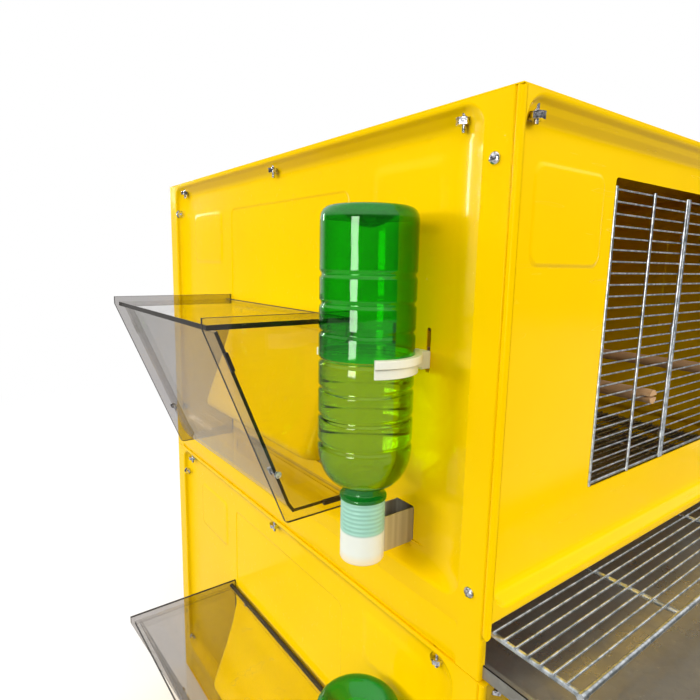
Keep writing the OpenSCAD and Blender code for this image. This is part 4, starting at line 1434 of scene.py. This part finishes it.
    def lid(self, shop: Shop, tier: Tier) -> None:
        """Places the lid with its pin."""
        bench = Bench()
        (x0, low), (x1, high) = self.lid_box
        bench.block((x0, self.near + self.lid_gap, low), (x1, self.far - self.lid_gap, high))
        bench.soften(0.3, 2)
        bench.stain(self.edges_dark(2))
        pin = Bench()
        x, z = self.pin
        pin.rod((x, self.near - 1.0, z), (x, self.far + 1.0, z), self.pin_width, 24)
        pin.soften(0.4, 2)
        pin.stain(lambda face: 1)
        bench.take(pin)
        finishes = [SmokedAcrylic(), AcrylicEdge()]
        shop.place(bench, "hopper_lid_pane", tier, "smoked_acrylic", finishes, ["hopper_lid"], Mover.LID)

    def scoop(self, reach: float) -> list[Flat]:
        """Plan of the baffle where it stands a given distance off the panel, with rounded ends.

        Args:
            reach: The distance.

        Returns:
            Its points from the near end to the far one.
        """
        near, far, wall = self.baffle_span[0], self.baffle_span[1], self.wall - 0.3
        radius = min(self.baffle_round, reach)
        arc = [math.radians(15.0 * step) for step in range(7)]
        line = [(wall, near)]
        line += [(wall - reach + radius * (1 - math.sin(a)), near + radius * (1 - math.cos(a))) for a in arc]
        line += [(wall - reach + radius * (1 - math.cos(a)), far - radius * (1 - math.sin(a))) for a in arc]
        return line + [(wall, far)]

    def baffle(self, shop: Shop, tier: Tier) -> None:
        """Places the painted baffle, a scoop with rounded ends, and its two screws."""
        bench = Bench()
        rows = [(40.0 * share ** 0.9, 210.0 - 98.0 * share) for share in (0.01, 0.1, 0.25, 0.5, 0.75, 0.92, 1.0)]
        rows += [(39.8, 108.0), (38.4, 105.6), (36.0, 104.6)]
        line = [(x, y, rows[0][1]) for x, y in self.scoop(rows[0][0])]
        edges = bench.line(line)
        for reach, height in rows[1:]:
            grown = bmesh.ops.extrude_edge_only(bench.bm, edges=edges)["geom"]
            new = set(Bench.verts_in(grown))
            edges = [edge for edge in Bench.edges_in(grown) if new.issuperset(edge.verts)]
            for vert in new:
                vert.index = min(range(len(line)), key=lambda index: (vert.co - Vector(line[index])).length)
            line = [(x, y, height) for x, y in self.scoop(reach)]
            for vert in new:
                vert.co = Vector(line[vert.index])
        bench.face_out()
        if sum(face.normal.x * face.calc_area() for face in bench.bm.faces) > 0:
            bench.flip()
        bench.thicken(1.0)
        bench.block((-291.0, -119.0, 209.5), (-290.05, 108.0, 219.0))
        bench.stain(lambda face: 0)
        screws = Bench()
        for y in self.screw_places:
            screws.rod((-291.0, y, 214.5), (-292.2, y, 214.5), 5.0, 20)
        screws.soften(0.5, 3)
        screws.stain(lambda face: 1)
        bench.take(screws)
        shop.place(
            bench, "seed_baffle", tier, "yellow_paint", [YellowPaint(), ZincFastener()], ["feed_baffle"], sharp=50.0
        )

    def build(self, shop: Shop) -> None:
        """Places the hopper in both tiers."""
        for tier in Tier:
            self.plates(shop, tier)
            self.front(shop, tier)
            self.lid(shop, tier)
            self.baffle(shop, tier)
            shop.dress(f"{tier.label}_hopper_screws", ZincFastener())


# ---- Drinker ----


@dataclass
class Drinker:
    """The bottle drinker: ribbed bottle with water, milky cup, steel trough and white clip."""

    axis: Flat = (-331.0, -198.0)
    radius: float = 33.2
    wall: float = 0.8
    mouth: float = 84.5
    neck: float = 13.8
    collar: float = 105.5
    collar_radius: float = 17.0
    waist: Flat = (12.8, 115.5)
    shoulder: float = 144.5
    rib_start: float = 148.5
    rib_pitch: float = 19.2
    ribs: int = 7
    rib_depth: float = 1.3
    top: float = 308.0
    water: float = 208.0
    sides: int = 72
    dome: tuple[Flat, ...] = (
        (33.2, 11.0), (33.1, 8.0), (32.6, 5.2), (31.4, 2.8), (29.6, 1.1), (27.4, 0.2), (25.2, 0.0), (23.0, 0.5),
        (20.5, 2.0), (17.0, 5.0), (13.0, 8.4), (8.0, 11.4), (3.5, 12.7), (0.0, 13.0),
    )
    cup_outer: tuple[Flat, ...] = ((0.0, 59.5), (14.6, 59.5), (15.5, 59.9), (16.0, 60.9), (16.0, 104.2), (15.6, 105.2))
    cup_inner: tuple[Flat, ...] = ((14.9, 105.2), (14.6, 104.6), (14.6, 61.4), (14.1, 60.9), (0.0, 60.9))
    collar_section: tuple[Flat, ...] = (
        (33.5, 198.3), (35.7, 198.3), (35.7, 205.5), (38.5, 205.5), (38.5, 211.0), (33.5, 211.0), (33.5, 198.3),
    )
    channel: tuple[Point, Point] = ((-318.9, -208.0, 62.1), (-260.0, -188.0, 89.5))
    tail: float = 18.4

    def body(self, inset: float) -> list[Flat]:
        """Shoulder, ribs and hollow bottom as radius and height.

        Args:
            inset: How far it is drawn in.

        Returns:
            The profile from the waist up.
        """
        reach = self.radius - self.waist[0]
        rise = self.shoulder - self.waist[1]
        arc = [math.radians(a) for a in range(0, 91, 9)]
        profile = [(self.waist[0] - inset + reach * math.sin(a), self.shoulder - rise * math.cos(a)) for a in arc]
        for rib in range(self.ribs):
            middle = self.rib_start + rib * self.rib_pitch
            for step in range(-4, 5):
                groove = self.rib_depth * 0.5 * (1 + math.cos(math.pi * step / 4))
                profile.append((self.radius - inset - groove, middle + step * 0.75))
        return profile + [(max(radius - inset, 0.0), self.top - drop - inset) for radius, drop in self.dome]

    def bottle(self, shop: Shop, tier: Tier) -> None:
        """Places the bottle's wall and the water in it."""
        bench = Bench()
        neck, turn = self.neck, self.neck + 0.9
        profile = [
            (neck, self.mouth), (neck, 86.0), (turn, 87.2), (turn, 88.6), (neck, 89.8), (neck, 91.6), (turn, 92.8),
            (turn, 94.2), (neck, 95.4), (neck, self.collar - 0.4),
            (self.collar_radius - 0.4, self.collar), (self.collar_radius, self.collar + 0.6),
            (self.collar_radius, self.collar + 2.2), (self.collar_radius - 0.6, self.collar + 2.9),
            (self.waist[0] + 0.8, self.collar + 3.6), (self.waist[0], self.collar + 5.5),
        ]
        bench.spin(profile + self.body(0.0), self.axis, self.sides)
        bench.thicken(self.wall)
        bench.stain(self.zone)
        finishes = [BottleGreen(), DRY_GREEN, THICK_GREEN]
        shop.place(bench, "bottle_wall", tier, "green_bottle", finishes, ["bottle"], Mover.BOTTLE, 60.0)
        inset = self.wall + 0.3
        inside = [(0.0, 86.0), (self.waist[0] - inset, 86.0), (self.waist[0] - inset, 113.0)]
        inside += [point for point in self.body(inset) if point[1] < self.water - 1.2]
        inside += [(self.radius - inset, self.water - 0.8), (self.radius - inset - 0.6, self.water), (0.0, self.water)]
        pool = Bench()
        pool.spin(inside, self.axis, self.sides)
        pool.stain(lambda face: 1 if face.normal.z > 0.9 and face.calc_center_median().z > self.water - 0.5 else 0)
        shop.place(pool, "drinking_water", tier, "green_bottle", [Water(), WaterTop()], (), Mover.BOTTLE, 60.0)

    def zone(self, face: bmesh.types.BMFace) -> int:
        """Finish of a wall face: wet under the water line, dry above it, thick at the neck and the dome."""
        height = face.calc_center_median().z
        if height < self.waist[1] + 2.0 or height > self.top - 9.0:
            return 2
        return 1 if height > self.water else 0

    def cup(self, shop: Shop, tier: Tier) -> None:
        """Places the cup under the bottle's mouth."""
        bench = Bench()
        bench.spin(self.cup_outer + self.cup_inner, self.axis, 64)
        shop.place(bench, "drinker_cup_shell", tier, "milky_plastic", [MilkyPlastic()], ["drinker_cup"])

    def trough(self, shop: Shop, tier: Tier) -> None:
        """Places the open steel trough that leads inside."""
        bench = Bench()
        bench.block(*self.channel)
        bottom = [face for face in bench.bm.faces if face.normal.z > 0.9]
        bmesh.ops.delete(bench.bm, geom=bottom, context="FACES_ONLY")
        bench.round_edges([edge for edge in bench.bm.edges if len(edge.link_faces) == 2], 1.2, 3)
        bench.thicken(0.8)
        for side in (-1, 1):
            y = -198.0 + side * 10.0
            bench.block((-289.0, min(y, y + side * 5.0), 62.1), (-288.2, max(y, y + side * 5.0), 89.5))
        shop.place(bench, "drinker_channel", tier, "stainless_sheet", [Stainless()], ["drinker_trough"])

    def clip(self, shop: Shop, tier: Tier) -> None:
        """Places the white clip: a wide collar over a narrow band, its foot and hooked tails."""
        bench = Bench()
        bench.spin(self.collar_section, self.axis, 40, 240.0, -120.0)
        bmesh.ops.remove_doubles(bench.bm, verts=bench.bm.verts[:], dist=0.01)
        bmesh.ops.holes_fill(bench.bm, edges=bench.bm.edges[:], sides=0)
        bench.face_out()
        bench.soften(0.5, 3)
        foot = Bench()
        foot.block((-298.6, -219.0, 198.3), (-290.0, -177.0, 211.0))
        foot.soften(0.8, 3)
        bench.take(foot)
        for side in (-1, 1):
            y = self.axis[1] + side * self.tail
            arm = Bench()
            arm.block((-305.5, y - 2.6, 200.0), (-297.5, y + 2.6, 210.5))
            arm.block((-290.4, y - 1.3, 206.5), (-286.0, y + 1.3, 210.0))
            arm.block((-288.7, y - 1.3, 197.5), (-286.0, y + 1.3, 206.6))
            arm.soften(0.4, 2)
            bench.take(arm)
        shop.place(bench, "bottle_clamp", tier, "white_plastic", [WhitePlastic()], ["bottle_clip"])

    def build(self, shop: Shop) -> None:
        """Places the drinker in both tiers."""
        for tier in Tier:
            self.bottle(shop, tier)
            self.cup(shop, tier)
            self.trough(shop, tier)
            self.clip(shop, tier)


# ---- Wire, floor and tray ----


@dataclass
class WireWork:
    """The wire front, the runners and the perches, which keep their own solids."""

    def build(self, shop: Shop) -> None:
        """Dresses the nodes in both tiers."""
        for tier in Tier:
            for node in ("grille_left", "grille_right", "door"):
                shop.dress(f"{tier.label}_{node}", ZincWire())
            shop.dress(f"{tier.label}_grille_runners", Galvanised())
            shop.dress(f"{tier.label}_perches", Beech())


@dataclass
class Fasteners:
    """The screws and nuts that hold the sheets: slotted heads, chamfered nuts and threaded ends."""

    head: float = 3.9
    head_rise: float = 2.4
    slot: float = 0.8
    slot_depth: float = 1.0
    shank: float = 3.0
    thread: float = 0.6
    nut_corner: float = 5.3
    nut_rise: float = 4.2
    roof: float = 370.0
    ledge: float = 360.0
    front_drop: float = 2.0
    stub: float = 4.5
    back_rim: float = 24.0
    rim: float = 295.0
    end_places: tuple[float, ...] = (-244.0, 0.0, 244.0)
    front_places: tuple[float, ...] = (-280.0, 0.0, 280.0)
    rear_places: tuple[float, ...] = (-264.0, 0.0, 264.0)

    def screw(self, length: float, bare: float, sunk: bool) -> Bench:
        """Makes a screw along Z, its head above zero and its thread below.

        Args:
            length: Length of the shank.
            bare: Length without thread under the head.
            sunk: Whether the head is countersunk.

        Returns:
            The screw.
        """
        radius = self.shank / 2
        if sunk:
            profile = [(0.0, 0.0), (self.head - 0.3, 0.0), (self.head, -0.15), (radius, -2.0)]
        else:
            profile = [
                (0.0, self.head_rise), (self.head * 0.33, self.head_rise - 0.04),
                (self.head * 0.64, self.head_rise - 0.3), (self.head * 0.85, self.head_rise - 0.75),
                (self.head * 0.97, self.head_rise - 1.35), (self.head, 0.5), (self.head - 0.1, 0.0), (radius, 0.0),
            ]
        height = -bare
        profile.append((radius, height))
        while height > -length + self.thread:
            profile += [(radius - 0.28, height - self.thread / 2), (radius, height - self.thread)]
            height -= self.thread
        profile += [(radius - 0.4, -length), (0.0, -length)]
        bench = Bench()
        bench.spin(profile, (0.0, 0.0), 20)
        for side in (-1, 1):
            bench.cut(bench.everything(), (0.0, side * self.slot / 2, 0.0), (0.0, 1.0, 0.0))
        top = [
            face for face in bench.bm.faces
            if abs(face.calc_center_median().y) < self.slot / 2 and face.normal.z > 0.2
        ]
        grown = bmesh.ops.extrude_face_region(bench.bm, geom=top)["geom"]
        for vert in Bench.verts_in(grown):
            vert.co.z = (0.0 if sunk else self.head_rise) - self.slot_depth
        bmesh.ops.delete(bench.bm, geom=[face for face in top if face.is_valid], context="FACES")
        return bench

    def nut(self) -> Bench:
        """Makes a nut that hangs below zero, chamfered and with its washer face."""
        bench = Bench()
        bmesh.ops.create_cone(
            bench.bm, cap_ends=True, segments=6, radius1=self.nut_corner, radius2=self.nut_corner,
            depth=self.nut_rise - 0.3, matrix=Matrix.Translation((0.0, 0.0, -self.nut_rise / 2 - 0.15)),
        )
        bench.soften(0.35, 2)
        washer = Bench()
        washer.rod((0.0, 0.0, 0.0), (0.0, 0.0, -0.4), self.nut_corner * 2.1, 28)
        bench.take(washer)
        return bench

    @staticmethod
    def gather(part: Bench, places: Iterable[Matrix]) -> Bench:
        """Copies a part to each place."""
        group = Bench()
        for place in places:
            copy = Bench()
            copy.take(part)
            copy.turn(place)
            group.take(copy)
        return group

    def roof_places(self, height: float, drop: float = 0.0) -> list[Matrix]:
        """Where the roof screws stand.

        Args:
            height: Height of their own zero.
            drop: How much lower the three in front stand.

        Returns:
            The places.
        """
        spots = [(side * self.rim, y, height) for side in (-1, 1) for y in self.end_places]
        spots += [(x, -285.0, height - drop) for x in self.front_places]
        spots += [(x, 284.0, height) for x in self.rear_places]
        turns = [Matrix.Rotation(0.55 + 0.9 * index, 4, "Z") for index in range(len(spots))]
        return [Matrix.Translation(spot) @ turn for spot, turn in zip(spots, turns)]

    def side_places(self, inward: float) -> list[Matrix]:
        """Where the corner screws stand, their heads outwards.

        Args:
            inward: How far behind the sheet's face.

        Returns:
            The places.
        """
        places = []
        for side in (-1, 1):
            for height, turn in ((59.0, 1.25), (332.0, 0.30)):
                out = Matrix.Rotation(math.radians(90.0 * side), 4, "Y") @ Matrix.Rotation(math.pi / 2 + turn, 4, "Z")
                places.append(Matrix.Translation((side * (300.0 - inward), -273.5, height)) @ out)
        return places

    def back_places(self, inward: float) -> list[Matrix]:
        """Where the back screws stand, their heads outwards."""
        out = Matrix.Rotation(math.radians(-90.0), 4, "X") @ Matrix.Rotation(0.5, 4, "Z")
        spots = [(side * self.rim, 290.0 - inward, height) for side in (-1, 1) for height in (60.0, 332.0)]
        return [Matrix.Translation(spot) @ out for spot in spots]

    def build(self, shop: Shop) -> None:
        """Places the screws and nuts in both tiers."""
        length = self.roof - self.ledge + self.nut_rise + self.stub
        roof = self.gather(self.screw(length, 10.0, True), self.roof_places(self.roof))
        corner = self.gather(self.screw(8.0, 2.0, False), self.side_places(0.0))
        length = self.back_rim + self.nut_rise + self.stub
        back = self.gather(self.screw(length, self.back_rim, False), self.back_places(0.0))
        nut = self.nut()
        nuts = self.gather(nut, self.roof_places(self.ledge, self.front_drop))
        nuts.take(self.gather(nut, self.side_places(2.0)))
        nuts.take(self.gather(nut, self.back_places(self.back_rim)))
        groups = ((roof, "roof_screws"), (corner, "corner_screws"), (back, "back_screws"), (nuts, "nuts"))
        for tier in Tier:
            for bench, label in groups:
                shop.place(bench, f"{label}_turned", tier, "zinc_fastener", [ZincFastener()], [label], sharp=38.0)


@dataclass
class FloorGrille:
    """The welded floor grille, drawn out a little at the front."""

    front: float = -350.0
    back: float = 210.0
    half: float = 291.0
    rods: tuple[float, ...] = (-291.0, -165.87, 0.0, 165.87, 291.0)
    rod_height: float = 33.05
    rod_width: float = 4.0
    wire_height: float = 35.75
    wire_width: float = 1.8
    wire_half: float = 293.5
    pitch: float = 8.75
    wires: int = 63
    knob: Flat = (2.4, 5.2)

    def build(self, shop: Shop) -> None:
        """Places the grille in both tiers."""
        bench = Bench()
        for x in self.rods:
            bench.rod((x, self.front, self.rod_height), (x, self.back, self.rod_height), self.rod_width)
        for y in (self.front, self.back):
            bench.rod((-self.half, y, self.rod_height), (self.half, y, self.rod_height), self.rod_width)
        for index in range(1, self.wires + 1):
            y = self.front + index * self.pitch
            start, end = (-self.wire_half, y, self.wire_height), (self.wire_half, y, self.wire_height)
            bench.rod(start, end, self.wire_width, 10)
        reach, width = self.knob
        for x in (-self.half, self.half):
            bench.rod((x - reach, self.front, self.rod_height), (x + reach, self.front, self.rod_height), width)
        for tier in Tier:
            shop.place(
                bench, "floor_wires", tier, "zinc_wire", [ZincWire()], ["floor_grille"], Mover.FLOOR_GRILLE, 50.0
            )


@dataclass
class Tray:
    """The galvanised tray with folded hems and a finger lip."""

    half: float = 296.5
    front: float = -400.0
    back: float = 160.0
    low: float = 1.3
    sheet: float = 0.6
    rim: float = 11.3
    hem: float = 4.0
    fold: float = 1.0
    lip: float = 8.0
    face_top: float = 28.3

    def build(self, shop: Shop) -> None:
        """Places the tray in both tiers."""
        bench = Bench()
        bench.block((-self.half, self.front, self.low), (self.half, self.back, self.rim))
        lids = [face for face in bench.bm.faces if face.normal.z > 0.9]
        bmesh.ops.delete(bench.bm, geom=lids, context="FACES_ONLY")
        bench.round_edges([edge for edge in bench.bm.edges if len(edge.link_faces) == 2], self.fold, 3)
        bench.thicken(self.sheet)
        for side in (-1, 1):
            x0, x1 = sorted((side * self.half, side * (self.half - self.hem)))
            bench.block((x0, self.front, self.rim - self.sheet), (x1, self.back, self.rim))
        bench.block((-self.half, self.back - self.hem, self.rim - self.sheet), (self.half, self.back, self.rim))
        inner = (self.half, self.front + self.sheet, self.face_top)
        bench.block((-self.half, self.front, self.low), inner)
        bench.block((-self.half, self.front - self.lip, self.face_top - self.sheet), inner)
        for tier in Tier:
            shop.place(bench, "tray_sheet", tier, "galvanised_sheet", [Galvanised()], ["tray"], Mover.TRAY)


# ---- Studio ----


@dataclass(frozen=True)
class Lamp:
    """One soft lamp, aimed at the cage."""

    name: str
    azimuth: float
    elevation: float
    distance: float
    size: Flat
    power: float
    gloss: bool = False


@dataclass
class Studio:
    """Pale floor, white surroundings, soft lamps and the photograph's camera."""

    picture: int = 700
    focal_pixels: float = 537.5
    sensor: float = 36.0
    eye: Point = (-0.55845, -0.48390, 0.64234)
    right: Point = (0.80337, -0.59518, 0.01899)
    up: Point = (0.08085, 0.14060, 0.98676)
    behind: Point = (-0.58997, -0.79120, 0.16108)
    aim: Point = (-0.29, -0.20, 0.45)
    lamps: tuple[Lamp, ...] = (
        Lamp("key_window", 155.0, 11.0, 2.4, (0.90, 0.34), 25.0),
        Lamp("edge_light", 101.0, 14.0, 2.6, (0.08, 0.40), 4.0, True),
        Lamp("strip", 199.0, 4.0, 2.6, (0.75, 1.15), 30.0, True),
        Lamp("front_window", 281.0, 22.0, 2.6, (1.2, 0.7), 24.0),
    )
    around: float = 2.35
    room: float = 0.06
    ceiling: float = 1.0

    def camera(self) -> None:
        """Stands the camera where the photograph was taken from."""
        data = bpy.data.cameras.new("view")
        data.sensor_width = self.sensor
        data.lens = self.focal_pixels * self.sensor / self.picture
        data.clip_start = 0.01
        eye = bpy.data.objects.new("view", data)
        columns = [Vector(axis) for axis in (self.right, self.up, self.behind)]
        turn = Matrix((columns[0], columns[1], columns[2])).transposed().to_4x4()
        eye.matrix_world = Matrix.Translation(self.eye) @ turn
        bpy.context.scene.collection.objects.link(eye)
        bpy.context.scene.camera = eye

    def world(self) -> None:
        """White for the camera, a band of soft light above the horizon, and a room with a white backdrop for gloss."""
        world = bpy.data.worlds.new("surroundings")
        bpy.context.scene.world = world
        graph = Graph(world)
        direction = graph.add("ShaderNodeTexCoord", {}, {}, "Generated")
        rise = graph.add("ShaderNodeSeparateXYZ", {}, {0: direction}, 2)
        light = graph.tint(rise.band(0.34, 0.58, 0.30), (0.04, 0.04, 0.04), (1.0, 1.0, 1.0))
        lit = graph.add("ShaderNodeBackground", {}, {"Color": light, "Strength": self.around})
        white = graph.add("ShaderNodeBackground", {}, {"Color": (1.0, 1.0, 1.0), "Strength": 1.0})
        high = graph.tint(rise.smooth(0.20, 0.45), (self.room,) * 3, (self.ceiling,) * 3)
        seen_in_gloss = graph.tint(self.backdrop(graph, direction), high, (1.0, 1.0, 1.0))
        mirrored = graph.add("ShaderNodeBackground", {}, {"Color": seen_in_gloss, "Strength": 1.0})
        shade = graph.add("ShaderNodeMixShader", {}, {0: graph.ray("Is Glossy Ray"), 1: lit, 2: mirrored})
        seen = graph.ray("Is Camera Ray", "Is Transmission Ray")
        graph.output(graph.add("ShaderNodeMixShader", {}, {0: seen, 1: shade, 2: white}), "ShaderNodeOutputWorld")

    def backdrop(self, graph: Graph, direction: Sock) -> Sock:
        """Where the white backdrop stands behind the cage, as a gloss sees it.

        Args:
            graph: The world's tree.
            direction: The direction that is looked in.

        Returns:
            One on the backdrop and 0 in the room behind the camera.
        """
        ahead = tuple(-number for number in self.behind)
        cosine = graph.add("ShaderNodeVectorMath", {"operation": "DOT_PRODUCT"}, {0: direction, 1: ahead}, "Value")
        return cosine.smooth(0.42, 0.75)

    def light(self) -> None:
        """Hangs the lamps."""
        for lamp in self.lamps:
            data = bpy.data.lights.new(lamp.name, "AREA")
            data.shape = "RECTANGLE"
            data.size, data.size_y = lamp.size
            data.energy = lamp.power
            around, rise = math.radians(lamp.azimuth), math.radians(lamp.elevation)
            way = Vector((math.cos(around) * math.cos(rise), math.sin(around) * math.cos(rise), math.sin(rise)))
            hung = bpy.data.objects.new(lamp.name, data)
            hung.visible_glossy, hung.visible_diffuse = lamp.gloss, not lamp.gloss
            turn = way.to_track_quat("Z", "Y").to_matrix().to_4x4()
            hung.matrix_world = Matrix.Translation(Vector(self.aim) + way * lamp.distance) @ turn
            bpy.context.scene.collection.objects.link(hung)

    def floor(self) -> None:
        """Lays the pale floor."""
        bm = bmesh.new()
        bmesh.ops.create_circle(bm, cap_ends=True, radius=6.0, segments=64)
        mesh = bpy.data.meshes.new("ground")
        bm.to_mesh(mesh)
        bm.free()
        mesh.materials.append(PaleGround().material())
        ground = bpy.data.objects.new("ground", mesh)
        bpy.context.scene.collection.objects.link(ground)

    def build(self) -> None:
        """Sets the studio up."""
        bpy.context.scene.view_settings.view_transform = "Standard"
        self.camera()
        self.world()
        self.light()
        self.floor()


def main() -> None:
    """Builds the cage's pieces in order and sets the studio."""
    logging.basicConfig(level=logging.INFO, format="%(message)s")
    shop = Shop(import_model())
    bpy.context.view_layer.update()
    for assembly in (
        EndPanels(), FrontPanels(), BackPanels(), Roofs(), Hopper(), Drinker(), WireWork(), Fasteners(),
        FloorGrille(), Tray(),
    ):
        assembly.build(shop)
        log.info("built %s", type(assembly).__name__)
    Studio().build()


if __name__ == "__main__":
    main()
